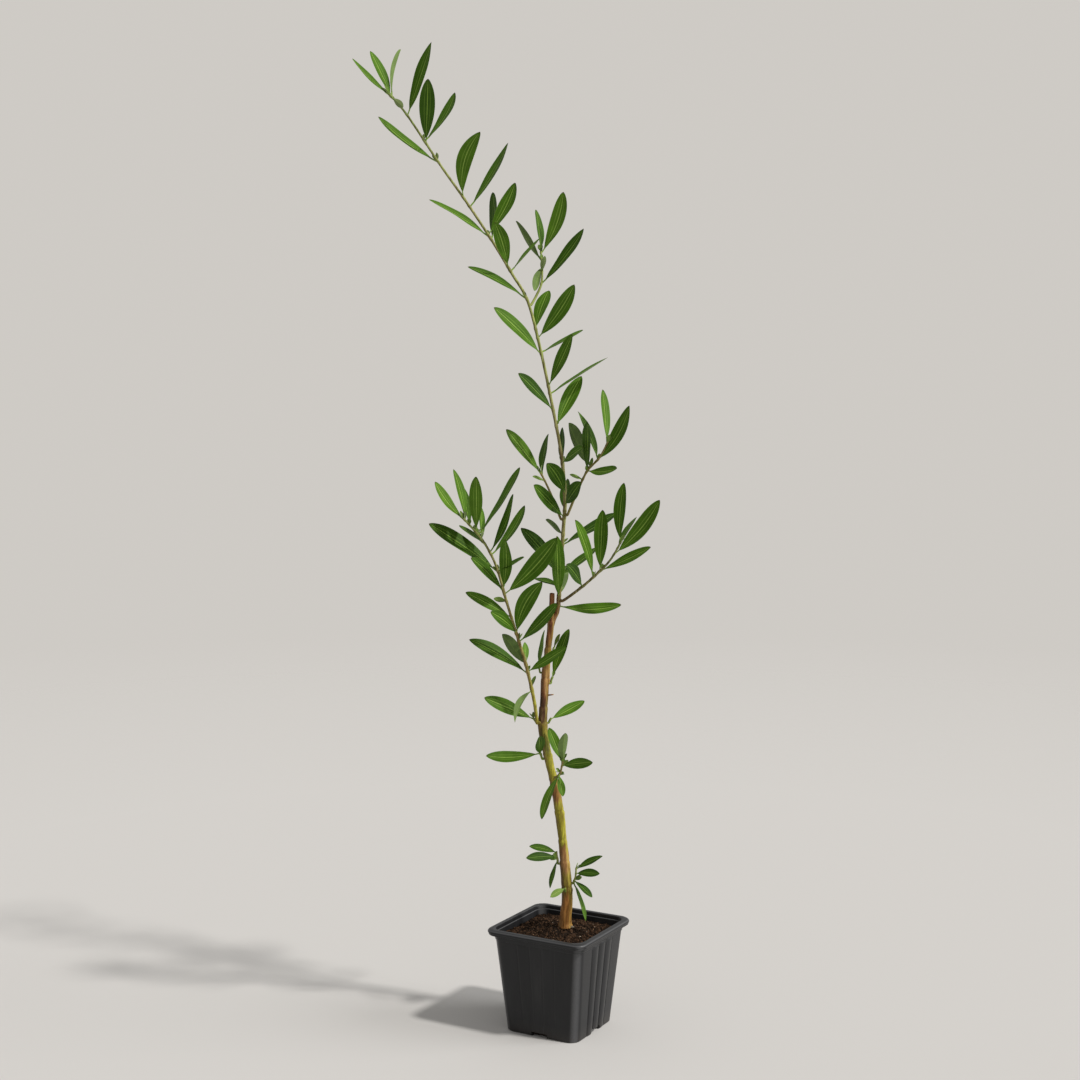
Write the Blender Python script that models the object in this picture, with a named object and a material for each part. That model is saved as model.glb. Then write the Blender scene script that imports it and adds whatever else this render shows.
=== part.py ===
"""A young olive tree in a square nursery pot.

The pot's sides lie along X and Y, and its underside is at z = 0. The plant is described as it is
seen from its front, in millimetres: x to the right, y away from the viewer, z up from the bench.
An empty turns the whole plant into the pot's frame.
"""
import math
import random

import bmesh
import bpy
from mathutils import Vector

MM = 0.001
GAP = 0.35
SEED = 41
PLANT_TURN = math.radians(29.7)

# Pot
RIM_SIDE = 90.0
POT_HEIGHT = 85.0
RIM_HEIGHT = 4.7
RIM_LIP = 1.3
BASE_SIDE = 66.0
WALL_TOP_SIDE = 81.0
WALL = 1.3
FLOOR = 1.6
CORNER = 9.4
CORNER_STEPS = 4
SHOULDER_DROP = 4.0
SHOULDER_STEP = 0.5
FLUTE_PLACES = (-17.3, -5.8, 5.8, 17.3)
FLUTE_WIDTH = 1.5
FLUTE_DEPTH = 0.55
FLUTE_FOOT = 5.0
NOTCH_WIDTH = 14.0
NOTCH_HEIGHT = 3.5
NOTCH_DEPTH = 5.0

# Potting mix
SOIL_EDGE = 77.0
SOIL_LEVEL = 80.6
SOIL_SEAT = 6.6
SOIL_BUMP = 0.45
SOIL_RINGS = 6

# Leaves
LEAF_WIDTH = 0.2
LEAF_LEAST_WIDTH = 2.2
BLADE_FOOT = 0.95
BLADE_TIP = 0.72
WIDEST = BLADE_FOOT / (BLADE_FOOT + BLADE_TIP)
LEAF_THICKNESS = 0.75
PETIOLE_WIDTH = 1.0
PETIOLE_SHARE = 0.09
LEAF_SHARES = (0.0, PETIOLE_SHARE, 0.25, 0.48, 0.72, 0.90)
LEAF_ARCH = 0.02
LEAF_FOLD = 0.2
STEM_SPAN = 3
COLLAR = 1.4
SHOOT_SIDES = 6
TRUNK_SIDES = 10

# Trunk: x, y, z and width, from the flat cut on the soil to the pruned stub above the fork
TRUNK = (
    (5.1, 5.0, SOIL_LEVEL + GAP, 11.2),
    (5.1, 5.0, 85, 10.2),
    (5.6, 4.6, 92, 9.4),
    (6.6, 4.0, 106, 8.8),
    (5.0, 3.4, 130, 8.2),
    (2.6, 2.4, 155, 7.0),
    (0.6, 1.6, 174, 7.6),
    (-3.2, 0.8, 197, 6.9),
    (-8.6, 0.2, 220, 6.7),
    (-13.3, 0.0, 246, 7.6),
    (-12.4, 0.0, 268, 6.3),
    (-11.4, 0.0, 287, 6.8),
    (-9.4, 0.0, 308, 5.2),
    (-7.4, 0.0, 327, 5.3),
    (-6.4, 0.0, 342, 4.6),
    (-6.0, 0.0, 356, 3.9),
)
SPUR_HEIGHT = 273.0
SPUR_TIP = (-4.6, 1.0, 273.5)

# Leader: the long shoot that carries on above the stub
LEADER = (
    (-1.6, 1.2, 342, 3.6),
    (-0.2, 2.0, 356, 3.3),
    (1.2, 4.0, 380, 3.1),
    (3.0, 6.0, 405, 3.0),
    (4.5, 6.0, 430, 2.9),
    (3.2, 5.0, 452, 2.8),
    (0.2, 3.0, 475, 2.6),
    (-6.0, 0.0, 507, 2.5),
    (-14.0, -2.0, 545, 2.4),
    (-25.0, 0.0, 588, 2.3),
    (-38.0, 3.0, 611, 2.2),
    (-55.0, 6.0, 639, 2.1),
    (-75.0, 8.0, 669, 2.0),
    (-95.0, 6.0, 697, 1.9),
    (-120.0, 0.0, 734, 1.7),
    (-134.0, -4.0, 750, 1.5),
)
LEADER_CUTS = (410.0, 510.0, 580.0, 652.0)

# Leaves: the height of the foot, lean from upright (plus is right), reach towards the viewer,
# length, turn of the upper face away from the viewer, and bow in hundredths (plus is upwards)
LEADER_LEAVES = (
    (346, 89, 5, 51, 55, -6),
    (351, -2, 20, 56, 32, -1),
    (354, 20, -62, 46, 150, 2),
    (361, -78, -45, 31, 65, 3),
    (369, -40, -26, 55, 42, 3),
    (370, 56, -35, 47, 62, -2),
    (395, 62, -30, 58, 66, -2),
    (403, -54, -55, 30, 130, 2),
    (417, -42, 40, 48, 38, 0),
    (422, 6, -52, 40, 40, 2),
    (427, 31, 58, 44, 35, 0),
    (436, -30, 50, 46, 5, 4),
    (459, 0, -45, 42, 62, 1),
    (461, 50, 58, 39, 48, 0),
    (490, 27, -25, 50, 10, 2),
    (503, -44, 30, 46, 50, 1),
    (516, 58, -15, 57, 82, -1),
    (522, 25, 25, 49, 40, -1),
    (547, -46, 15, 54, 46, 1),
    (549, 61, -40, 51, 78, -2),
    (560, 35, 15, 52, 8, -4),
    (567, 18, -42, 46, 30, 2),
    (591, -62, 5, 53, 64, 3),
    (613, 40, -30, 42, 78, 0),
    (616, -17, 45, 47, 15, 3),
    (638, 0, -40, 54, 62, -2),
    (640, -59, 5, 56, 64, 2),
    (642, 26, -24, 53, 36, -5),
    (664, 30, -15, 63, 58, -4),
    (671, 16, 20, 54, 5, 12),
    (699, -53, -5, 60, 62, -3),
    (713, 4, 25, 51, 5, 0),
    (715, 29, -26, 53, 55, -8),
    (734, 20, 10, 59, 42, -1),
    (747, 134, 30, 14, 170, 0),
    (748, 7, -35, 52, 98, 5),
    (748, -25, -16, 43, 52, 0),
    (749, -47, 10, 40, 62, -4),
)

# Left bough: its foot on the trunk, its route, and the height where the leaves begin
LEFT_FOOT = (251.0, 214.0)
LEFT = (
    (-20.0, -8.0, 268, 2.8),
    (-24.0, -13.0, 288, 2.6),
    (-28.0, -18.0, 305, 2.5),
    (-33.0, -23.0, 322, 2.3),
    (-42.0, -32.0, 353, 2.1),
    (-50.0, -40.0, 382, 1.9),
    (-60.0, -46.0, 402, 1.7),
    (-75.0, -52.0, 420, 1.4),
)
LEFT_CUT = 273.0
LEFT_LEAVES = (
    (279, -150, 30, 31, 130, 12),
    (281, 20, -30, 11, 60, 0),
    (293, -59, 5, 55, 55, 3),
    (295, 55, 22, 41, 50, -3),
    (300, -43, -45, 41, 170, 2),
    (302, -2, -30, 18, 30, 0),
    (320, 43, 24, 49, 52, -2),
    (326, 25, 20, 51, 10, 9),
    (327, -44, 45, 40, 46, 3),
    (340, -60, 10, 42, 45, 0),
    (353, -79, -30, 12, 40, 0),
    (359, 42, 16, 64, 12, -4),
    (361, -41, 30, 44, 58, 3),
    (363, 3, 32, 49, 26, -3),
    (365, 10, -58, 44, 140, 0),
    (377, -55, 0, 66, 52, 3),
    (378, 60, 34, 29, 72, 0),
    (391, 35, -30, 52, 60, -8),
    (393, 22, 20, 53, 60, -5),
    (400, -59, -45, 34, 74, 0),
    (403, -3, -45, 34, 62, 0),
    (407, 32, -15, 63, 74, -5),
    (409, 1, 15, 45, 28, 0),
    (414, -12, -42, 39, 56, 0),
    (418, -14, -20, 43, 60, 3),
    (418.5, -37, 10, 38, 56, -6),
)

# Right bough
RIGHT_FOOT = (350.0, -16.0)
RIGHT = (
    (7.0, -2.0, 353, 2.3),
    (17.0, -6.0, 361, 2.2),
    (28.0, -10.0, 371, 2.0),
    (40.0, -15.0, 384, 1.7),
    (49.0, -18.0, 400, 1.4),
)
RIGHT_CUT = 358.5
RIGHT_LEAVES = (
    (362, -32, 55, 44, 46, 3),
    (370, -18, 25, 55, 56, 3),
    (375, 3, -15, 50, 26, 0),
    (376, 63, 20, 46, 54, -2),
    (389, 39, 10, 57, 25, -5),
    (394, 36, -45, 40, 72, 0),
    (398, 4, -15, 49, 42, 3),
)

# Shoots on the leader: height and side of the foot (0 is right, 90 is away), route, leaves
UPPER_RIGHT = (
    (419.0, -40.0),
    ((10.5, 1.0, 429, 2.1), (15.0, -3.0, 440, 1.9), (22.0, -9.0, 455, 1.7),
     (31.0, -14.0, 465, 1.5), (38.0, -15.5, 478, 1.2)),
    ((448, -70, 20, 12, 60, 0), (454, 0, 35, 49, 60, 0), (455, 83, 50, 35, 52, -4),
     (458, -26, -45, 54, 140, 0), (463, 30, 10, 51, 40, -9), (464, -22, -35, 50, 58, 2),
     (477, -4, -25, 47, 54, 0)),
)
SHORT_LEFT = (
    (415.0, 145.0),
    ((-3.0, 10.0, 426, 2.0), (-9.0, 15.0, 440, 1.7), (-15.0, 19.0, 452, 1.3)),
    ((446, -70, 30, 12, 60, 0), (450, 9, -40, 44, 56, 2), (451, -38, 10, 47, 47, 2)),
)
SIDE_SHOOT = (
    (586.0, 50.0),
    ((-18.5, 7.0, 594, 2.0), (-14.5, 12.0, 604, 1.8), (-14.0, 19.0, 617, 1.6),
     (-15.0, 26.0, 631, 1.3)),
    ((604, 38, 0, 55, 54, -3), (614, 10, 40, 15, 140, 0), (618, -163, 40, 28, 140, 0),
     (623, -32, -30, 46, 118, -1), (629, 20, -10, 54, 36, -6), (630, -6, -40, 49, 61, 0)),
)

# Shoots on the trunk
LOW_SHOOT = (
    (206.0, -55.0),
    ((0.4, -6.4, 210, 1.8), (1.6, -8.0, 215, 1.6), (3.0, -9.0, 222, 1.3)),
    ((209, 169, 42, 20, 20, 0), (211, -156, 25, 41, 60, 3), (217, 74, 38, 32, 15, 2),
     (220, -22, -6, 30, 28, 0), (221, 2, 42, 37, 140, 0)),
)
FORK_LEFT = (
    (250.0, 158.0),
    ((-19.4, 2.6, 251.5, 1.7), (-21.0, 3.0, 254, 1.5)),
    ((253, -64, 14, 46, 42, 1),),
)
FORK_RIGHT = (
    (250.0, 28.0),
    ((-8.0, 2.4, 251.5, 1.7), (-6.6, 3.0, 254, 1.5)),
    ((253, 68, -35, 37, 44, -2),),
)
MIDDLE_LEFT = (
    (222.0, 188.0),
    ((-14.8, -1.0, 224, 1.8), (-16.0, -1.4, 227, 1.5)),
    ((225, -3, 52, 32, 32, 0), (226, -92, 5, 44, 52, -5)),
)
HIGH_RIGHT = (
    (283.0, 14.0),
    ((-6.6, 1.2, 285, 1.7), (-5.4, 1.6, 288, 1.5)),
    ((287, 20, -20, 43, 35, 0),),
)
HIGH_BUD = (
    (309.0, 10.0),
    ((-5.2, 0.6, 310, 1.3), (-4.4, 0.8, 312, 1.1)),
    ((311.5, 24, 10, 13, 64, 0),),
)
HIGH_LEFT = (
    (291.0, 160.0),
    ((-16.0, 1.8, 293, 1.5), (-16.6, 2.2, 296, 1.2)),
    ((295, 9, -35, 35, 66, 0),),
)
FOOT_LEFT = (
    (134.0, 182.0),
    ((-1.2, 3.0, 136, 1.6), (-1.8, 2.8, 140, 1.4), (-2.2, 2.6, 144, 1.2)),
    ((137, -164, 20, 24, 66, 2), (139, -86, 20, 27, 42, 2), (143, -77, 0, 23, 46, 3)),
)
FOOT_RIGHT = (
    (117.0, -12.0),
    ((12.0, 2.0, 119, 1.5), (13.4, 1.0, 124, 1.4), (13.8, 0.4, 131, 1.2)),
    ((118.6, 162, 20, 33, 70, 0), (120, 128, 30, 21, 58, 3), (126, 86, 15, 20, 32, 3),
     (130, 64, 0, 24, 58, 3)),
)
FOOT_FRONT = (
    (112.0, 252.0),
    ((4.9, -2.2, 113, 1.5), (4.6, -3.0, 115, 1.3)),
    ((114.5, -112, 30, 15, 20, 4),),
)

COLOURS = {
    "plastic": ((0.022, 0.022, 0.023), 0.42),
    "potting_mix": ((0.030, 0.017, 0.011), 0.95),
    "bark": ((0.235, 0.175, 0.060), 0.70),
    "foliage": ((0.060, 0.150, 0.028), 0.50),
}


def clear_scene():
    for thing in list(bpy.data.objects):
        bpy.data.objects.remove(thing, do_unlink=True)


def material(name):
    """One plain Principled material per kind of stuff, with the colour seen on the real plant."""
    colour, roughness = COLOURS[name]
    made = bpy.data.materials.new(name)
    made.use_nodes = True
    shader = made.node_tree.nodes["Principled BSDF"]
    shader.inputs["Base Color"].default_value = (*colour, 1.0)
    shader.inputs["Roughness"].default_value = roughness
    shader.inputs["Metallic"].default_value = 0.0
    return made


def add_object(name, mesh, collection, kind):
    made = bpy.data.objects.new(name, mesh)
    made.data.materials.clear()
    made.data.materials.append(material(kind))
    collection.objects.link(made)
    return made


def smooth(mesh):
    mesh.shade_smooth()
    mesh.set_sharp_from_angle(angle=math.radians(40))


def loft(name, rings):
    """A closed mesh through rings of equal point count, capped flat at both ends."""
    sheet = bmesh.new()
    rows = [[sheet.verts.new(Vector(point) * MM) for point in ring] for ring in rings]
    count = len(rows[0])
    for low, high in zip(rows, rows[1:]):
        for index in range(count):
            after = (index + 1) % count
            sheet.faces.new((low[index], low[after], high[after], high[index]))
    sheet.faces.new(list(reversed(rows[0])))
    sheet.faces.new(rows[-1])
    bmesh.ops.recalc_face_normals(sheet, faces=sheet.faces)
    mesh = bpy.data.meshes.new(name)
    sheet.to_mesh(mesh)
    sheet.free()
    return mesh


def rounded_square(side, corner, z):
    """The outline of the pot at one height, with a quarter circle at each corner."""
    half = side / 2 - corner
    outline = []
    for quarter in range(4):
        turn = quarter * math.pi / 2
        middle_x = half * (1 if quarter in (0, 3) else -1)
        middle_y = half * (1 if quarter in (0, 1) else -1)
        for step in range(CORNER_STEPS + 1):
            angle = turn + step * math.pi / 2 / CORNER_STEPS
            outline.append((middle_x + corner * math.cos(angle), middle_y + corner * math.sin(angle), z))
    return outline


def wall_side(z):
    """The outer width of the tapering wall at one height."""
    return BASE_SIDE + (WALL_TOP_SIDE - BASE_SIDE) * z / (POT_HEIGHT - RIM_HEIGHT)


def box(name, middle, size, collection):
    """A cutter: a box with its middle and full size in millimetres."""
    bpy.ops.mesh.primitive_cube_add(size=MM, location=Vector(middle) * MM, scale=size)
    made = bpy.context.object
    made.name = name
    made.hide_render = True
    made.display_type = "WIRE"
    for owner in list(made.users_collection):
        owner.objects.unlink(made)
    collection.objects.link(made)
    return made


def cut(target, cutters):
    modifier = target.modifiers.new("cuts", "BOOLEAN")
    modifier.operation = "DIFFERENCE"
    modifier.operand_type = "COLLECTION"
    modifier.collection = cutters


def pot_cutters(collection):
    """Four flutes down the middle of each side, and a drain notch at the foot of each side."""
    lean = math.atan((WALL_TOP_SIDE - BASE_SIDE) / 2 / (POT_HEIGHT - RIM_HEIGHT))
    top = POT_HEIGHT - RIM_HEIGHT - SHOULDER_DROP
    middle = (FLUTE_FOOT + top) / 2
    for side in range(4):
        turn = side * math.pi / 2
        for place in FLUTE_PLACES:
            out = wall_side(middle) / 2
            flute = box("flute", (0, 0, 0), (FLUTE_DEPTH * 2, FLUTE_WIDTH, top - FLUTE_FOOT), collection)
            flute.rotation_euler = (0, lean, turn)
            across = place * wall_side(middle) / WALL_TOP_SIDE
            x = out * math.cos(turn) - across * math.sin(turn)
            y = out * math.sin(turn) + across * math.cos(turn)
            flute.location = Vector((x, y, middle)) * MM
        out = BASE_SIDE / 2 - NOTCH_DEPTH / 2 + 1
        notch_size = (NOTCH_DEPTH + 2, NOTCH_WIDTH, NOTCH_HEIGHT * 2)
        notch = box("notch", (out * math.cos(turn), out * math.sin(turn), 0), notch_size, collection)
        notch.rotation_euler = (0, 0, turn)


def build_pot(parts, cutters):
    """A thin moulded shell: tapering wall, a small shoulder, and a rim turned out and down."""
    rim_foot = POT_HEIGHT - RIM_HEIGHT
    shoulder = rim_foot - SHOULDER_DROP
    under_rim = POT_HEIGHT - RIM_LIP
    inner_top = wall_side(under_rim) - 2 * WALL
    inner_foot = wall_side(FLOOR) - 2 * WALL
    profile = (
        (0.0, BASE_SIDE - 1.2),
        (0.7, BASE_SIDE),
        (shoulder - 0.5, wall_side(shoulder)),
        (shoulder, wall_side(shoulder) + 2 * SHOULDER_STEP),
        (under_rim, wall_side(under_rim) + 2 * SHOULDER_STEP),
        (under_rim, RIM_SIDE - 2 * RIM_LIP),
        (rim_foot, RIM_SIDE - 2 * RIM_LIP),
        (rim_foot, RIM_SIDE - 0.4),
        (rim_foot + 0.7, RIM_SIDE),
        (POT_HEIGHT - 1.0, RIM_SIDE),
        (POT_HEIGHT - 0.2, RIM_SIDE - 1.2),
        (POT_HEIGHT, RIM_SIDE - 2.6),
        (POT_HEIGHT, inner_top + 2.0),
        (POT_HEIGHT - 1.0, inner_top),
        (FLOOR, inner_foot),
    )
    rings = [rounded_square(side, CORNER - (RIM_SIDE - side) * 0.02, z) for z, side in profile]
    mesh = loft("pot", rings)
    smooth(mesh)
    pot = add_object("pot", mesh, parts, "plastic")
    pot_cutters(cutters)
    cut(pot, cutters)


def build_soil(parts):
    """The mix fills the pot and rises a little to a flat seat for the trunk."""
    clear = 2 * WALL + 2 * GAP
    foot = FLOOR + GAP
    foot_x, foot_y = turned(TRUNK[0][0], TRUNK[0][1])
    rings = []
    for z in (foot, (foot + SOIL_EDGE) / 2, SOIL_EDGE):
        rings.append(rounded_square(wall_side(z) - clear, CORNER - 1, z))
    edge = rings[-1]
    for ring in range(1, SOIL_RINGS + 1):
        share = ring / SOIL_RINGS
        row = []
        for x, y, z in edge:
            away = Vector((x - foot_x, y - foot_y)).normalized() * SOIL_SEAT
            new_x = x + (foot_x + away.x - x) * share
            new_y = y + (foot_y + away.y - y) * share
            bump = SOIL_BUMP * math.sin(new_x * 0.31 + 1.0) * math.cos(new_y * 0.27) * (1 - share)
            row.append((new_x, new_y, SOIL_EDGE + (SOIL_LEVEL - SOIL_EDGE) * share ** 1.6 + bump))
        rings.append(row)
    mesh = loft("soil", rings)
    smooth(mesh)
    add_object("soil", mesh, parts, "potting_mix")


def turned(x, y):
    """A place on the plant, in the pot's frame."""
    cosine = math.cos(PLANT_TURN)
    sine = math.sin(PLANT_TURN)
    return x * cosine - y * sine, x * sine + y * cosine


class Stem:
    """A smooth route in millimetres with a width at each point."""

    def __init__(self, rows, span=STEM_SPAN):
        self.rows = [rows[0]]
        for index in range(len(rows) - 1):
            before = rows[max(index - 1, 0)]
            start = rows[index]
            end = rows[index + 1]
            after = rows[min(index + 2, len(rows) - 1)]
            for step in range(1, span + 1):
                self.rows.append(self.between(before, start, end, after, step / span))

    @staticmethod
    def between(before, start, end, after, share):
        """A point of the Catmull-Rom curve through four rows."""
        row = []
        for a, b, c, d in zip(before, start, end, after):
            value = 2 * b + (c - a) * share + (2 * a - 5 * b + 4 * c - d) * share ** 2
            row.append((value + (3 * b - a - 3 * c + d) * share ** 3) / 2)
        return tuple(row)

    def at(self, height):
        """The middle, direction and radius at one height."""
        for low, high in zip(self.rows, self.rows[1:]):
            if low[2] <= height <= high[2]:
                share = (height - low[2]) / max(high[2] - low[2], 0.001)
                middle = Vector(low[:3]).lerp(Vector(high[:3]), share)
                along = (Vector(high[:3]) - Vector(low[:3])).normalized()
                return middle, along, (low[3] + (high[3] - low[3]) * share) / 2
        raise ValueError(f"no stem at {height}")

    def cut(self, low, high):
        """The stretch between two heights, each end drawn back by half the gap."""
        low_end = self.rows[0][2] if low is None else low + GAP / 2
        high_end = self.rows[-1][2] if high is None else high - GAP / 2
        piece = Stem.__new__(Stem)
        piece.rows = []
        for height in (low_end, high_end):
            middle, _, radius = self.at(height)
            piece.rows.append((*middle, radius * 2))
        inner = [row for row in self.rows if low_end + 0.8 < row[2] < high_end - 0.8]
        piece.rows[1:1] = inner
        return piece


def limb(name, stem, sides):
    """A tapering round limb: a bevelled curve made into a closed mesh."""
    curve = bpy.data.curves.new(name, "CURVE")
    curve.dimensions = "3D"
    curve.bevel_depth = MM / 2
    curve.bevel_resolution = sides // 2 - 2
    curve.use_fill_caps = True
    spline = curve.splines.new("POLY")
    spline.points.add(len(stem.rows) - 1)
    for point, (x, y, z, width) in zip(spline.points, stem.rows):
        point.co = (x * MM, y * MM, z * MM, 1.0)
        point.radius = width
    guide = bpy.data.objects.new(name, curve)
    bpy.context.scene.collection.objects.link(guide)
    bpy.context.view_layer.update()
    ready = guide.evaluated_get(bpy.context.evaluated_depsgraph_get())
    mesh = bpy.data.meshes.new_from_object(ready)
    bpy.data.objects.remove(guide, do_unlink=True)
    sheet = bmesh.new()
    sheet.from_mesh(mesh)
    bmesh.ops.remove_doubles(sheet, verts=sheet.verts, dist=0.00001)
    bmesh.ops.recalc_face_normals(sheet, faces=sheet.faces)
    sheet.to_mesh(mesh)
    sheet.free()
    mesh.name = name
    smooth(mesh)
    return mesh


def blade_axes(lean, reach, turn):
    """The directions along a leaf, across it, out of its upper face, and up as seen from the front."""
    lean = math.radians(lean)
    reach = math.radians(reach)
    turn = math.radians(turn)
    out = Vector((math.sin(lean) * math.cos(reach), -math.sin(reach), math.cos(lean) * math.cos(reach)))
    facing = Vector((0, -1, 0))
    facing = (facing - out * facing.dot(out)).normalized()
    up = out.cross(facing) if lean < 0 else facing.cross(out)
    normal = facing * math.cos(turn) + up * math.sin(turn)
    return out, out.cross(normal), normal, up


def blade_half_width(share, length):
    """Half the leaf's width: a thin stalk, then a lance shape that is widest past its middle."""
    if share <= PETIOLE_SHARE:
        return PETIOLE_WIDTH / 2
    up = (share - PETIOLE_SHARE) / (1 - PETIOLE_SHARE)
    blade = (up / WIDEST) ** BLADE_FOOT * ((1 - up) / (1 - WIDEST)) ** BLADE_TIP
    return PETIOLE_WIDTH / 2 * (1 - up) + (LEAF_LEAST_WIDTH + length * LEAF_WIDTH) / 2 * blade


def leaf(foot, axes, length, bow, widen, arch):
    """A thin closed blade with a folded upper face, bowed along its length."""
    out, across, normal, up = axes
    bend = (up * bow / 100 + normal * arch) * length * 4
    rings = []
    for share in LEAF_SHARES:
        half = blade_half_width(share, length) * widen
        middle = foot + out * length * share + bend * share * (1 - share)
        thick = LEAF_THICKNESS * (1.15 - 0.5 * share) / 2
        lift = normal * half * (LEAF_FOLD if share > PETIOLE_SHARE else 0)
        rings.append((middle - across * half + lift, middle - normal * thick,
                      middle + across * half + lift, middle + normal * thick))
    sheet = bmesh.new()
    rows = [[sheet.verts.new(point * MM) for point in ring] for ring in rings]
    tip = sheet.verts.new((foot + out * length) * MM)
    for low, high in zip(rows, rows[1:]):
        for index in range(4):
            after = (index + 1) % 4
            sheet.faces.new((low[index], low[after], high[after], high[index]))
    for index in range(4):
        sheet.faces.new((rows[-1][index], rows[-1][(index + 1) % 4], tip))
    sheet.faces.new(list(reversed(rows[0])))
    bmesh.ops.recalc_face_normals(sheet, faces=sheet.faces)
    mesh = bpy.data.meshes.new("leaf")
    sheet.to_mesh(mesh)
    sheet.free()
    return mesh


def foliage(name, stem, leaves, parts, seed):
    """One mass: a stem with its leaves fused on, their feet sunk to the stem's middle."""
    chance = random.Random(SEED + seed)
    body = add_object(name, limb(name, stem, SHOOT_SIDES), parts, "foliage")
    blades = bpy.data.collections.new(name + "_leaves")
    bpy.context.scene.collection.children.link(blades)
    for height, lean, reach, length, turn, bow in leaves:
        foot, _, _ = stem.at(height)
        widen = chance.uniform(0.94, 1.06)
        arch = chance.uniform(-LEAF_ARCH, LEAF_ARCH)
        blade = leaf(foot, blade_axes(lean, reach, turn), length, bow, widen, arch)
        made = bpy.data.objects.new("leaf", blade)
        blades.objects.link(made)
    join = body.modifiers.new("leaves", "BOOLEAN")
    join.operation = "UNION"
    join.operand_type = "COLLECTION"
    join.collection = blades
    bpy.context.view_layer.update()
    ready = body.evaluated_get(bpy.context.evaluated_depsgraph_get())
    mesh = bpy.data.meshes.new_from_object(ready)
    body.modifiers.clear()
    body.data = mesh
    mesh.name = name
    for blade in list(blades.objects):
        bpy.data.objects.remove(blade, do_unlink=True)
    bpy.data.collections.remove(blades)
    return body


def shoot_from(parent, height, towards, route):
    """A shoot that starts just clear of its parent and leaves it squarely before it bends up."""
    middle, along, radius = parent.at(height)
    angle = math.radians(towards)
    out = Vector((math.cos(angle), math.sin(angle), 0))
    out = (out - along * out.dot(along)).normalized()
    near = middle + out * (radius + GAP)
    far = near + out * COLLAR
    width = route[0][3]
    stem = Stem([(*far, width), *route])
    stem.rows.insert(0, (*near, width))
    return stem


def build_trunk(parts, trunk):
    """The trunk with its dry spur, from the flat cut on the soil to the stub."""
    middle, _, _ = trunk.at(SPUR_HEIGHT)
    body = add_object("trunk", limb("trunk", trunk, TRUNK_SIDES), parts, "bark")
    dry = Stem([(*middle, 1.4), (*SPUR_TIP, 0.9)], span=1)
    spur = add_object("dry_spur", limb("dry_spur", dry, SHOOT_SIDES), parts, "bark")
    join = body.modifiers.new("spur", "BOOLEAN")
    join.operation = "UNION"
    join.object = spur
    bpy.context.view_layer.update()
    ready = body.evaluated_get(bpy.context.evaluated_depsgraph_get())
    mesh = bpy.data.meshes.new_from_object(ready)
    body.modifiers.clear()
    body.data = mesh
    bpy.data.objects.remove(spur, do_unlink=True)
    return body


def build_leader(parts, leader):
    """The leader and its leaves, in five masses that stand on one another."""
    names = ("leader_lower", "leader_middle", "leader_upper", "leader_high", "leader_tip")
    cuts = (None, *LEADER_CUTS, None)
    made = []
    for seed, name in enumerate(names):
        low = cuts[seed]
        high = cuts[seed + 1]
        leaves = [row for row in LEADER_LEAVES if (low or 0) < row[0] < (high or 1000)]
        made.append(foliage(name, leader.cut(low, high), leaves, parts, seed))
    return made


def build_bough(parts, name, stem, height, leaves, seed):
    """A bare bough that ends where its mass of leaves begins."""
    bough = add_object(name + "_bough", limb(name + "_bough", stem.cut(None, height), SHOOT_SIDES),
                       parts, "bark")
    return [bough, foliage(name + "_foliage", stem.cut(height, None), leaves, parts, seed)]


def build_plant(parts):
    trunk = Stem(TRUNK)
    leader = Stem(LEADER)
    left = shoot_from(trunk, *LEFT_FOOT, LEFT)
    right = shoot_from(leader, *RIGHT_FOOT, RIGHT)
    plant = [build_trunk(parts, trunk)]
    plant += build_leader(parts, leader)
    plant += build_bough(parts, "left", left, LEFT_CUT, LEFT_LEAVES, 5)
    plant += build_bough(parts, "right", right, RIGHT_CUT, RIGHT_LEAVES, 6)
    shoots = (
        ("upper_right_foliage", leader, UPPER_RIGHT),
        ("short_left_foliage", leader, SHORT_LEFT),
        ("side_shoot_foliage", leader, SIDE_SHOOT),
        ("low_foliage", trunk, LOW_SHOOT),
        ("fork_left_leaf", trunk, FORK_LEFT),
        ("fork_right_leaf", trunk, FORK_RIGHT),
        ("middle_left_leaves", trunk, MIDDLE_LEFT),
        ("high_right_leaf", trunk, HIGH_RIGHT),
        ("high_bud", trunk, HIGH_BUD),
        ("high_left_leaf", trunk, HIGH_LEFT),
        ("foot_left_leaves", trunk, FOOT_LEFT),
        ("foot_right_leaves", trunk, FOOT_RIGHT),
        ("foot_front_leaf", trunk, FOOT_FRONT),
    )
    for seed, (name, parent, (foot, route, leaves)) in enumerate(shoots, start=7):
        stem = shoot_from(parent, *foot, route)
        plant.append(foliage(name, stem, leaves, parts, seed))
    return plant


def main():
    clear_scene()
    parts = bpy.data.collections.new("potted_olive_tree")
    cutters = bpy.data.collections.new("cutters")
    bpy.context.scene.collection.children.link(parts)
    bpy.context.scene.collection.children.link(cutters)
    build_pot(parts, cutters)
    build_soil(parts)
    turn = bpy.data.objects.new("plant_turn", None)
    turn.rotation_euler = (0, 0, PLANT_TURN)
    parts.objects.link(turn)
    for piece in build_plant(parts):
        piece.parent = turn
    bpy.context.view_layer.update()


main()
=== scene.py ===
"""The looks of a young olive tree in a square nursery pot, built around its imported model."""
import random
from itertools import combinations
from math import asin, atan2, cos, degrees, exp, pi, radians, sin, sqrt, tau

import bmesh
import bpy
import numpy as np
from mathutils import Matrix, Vector, noise


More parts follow.
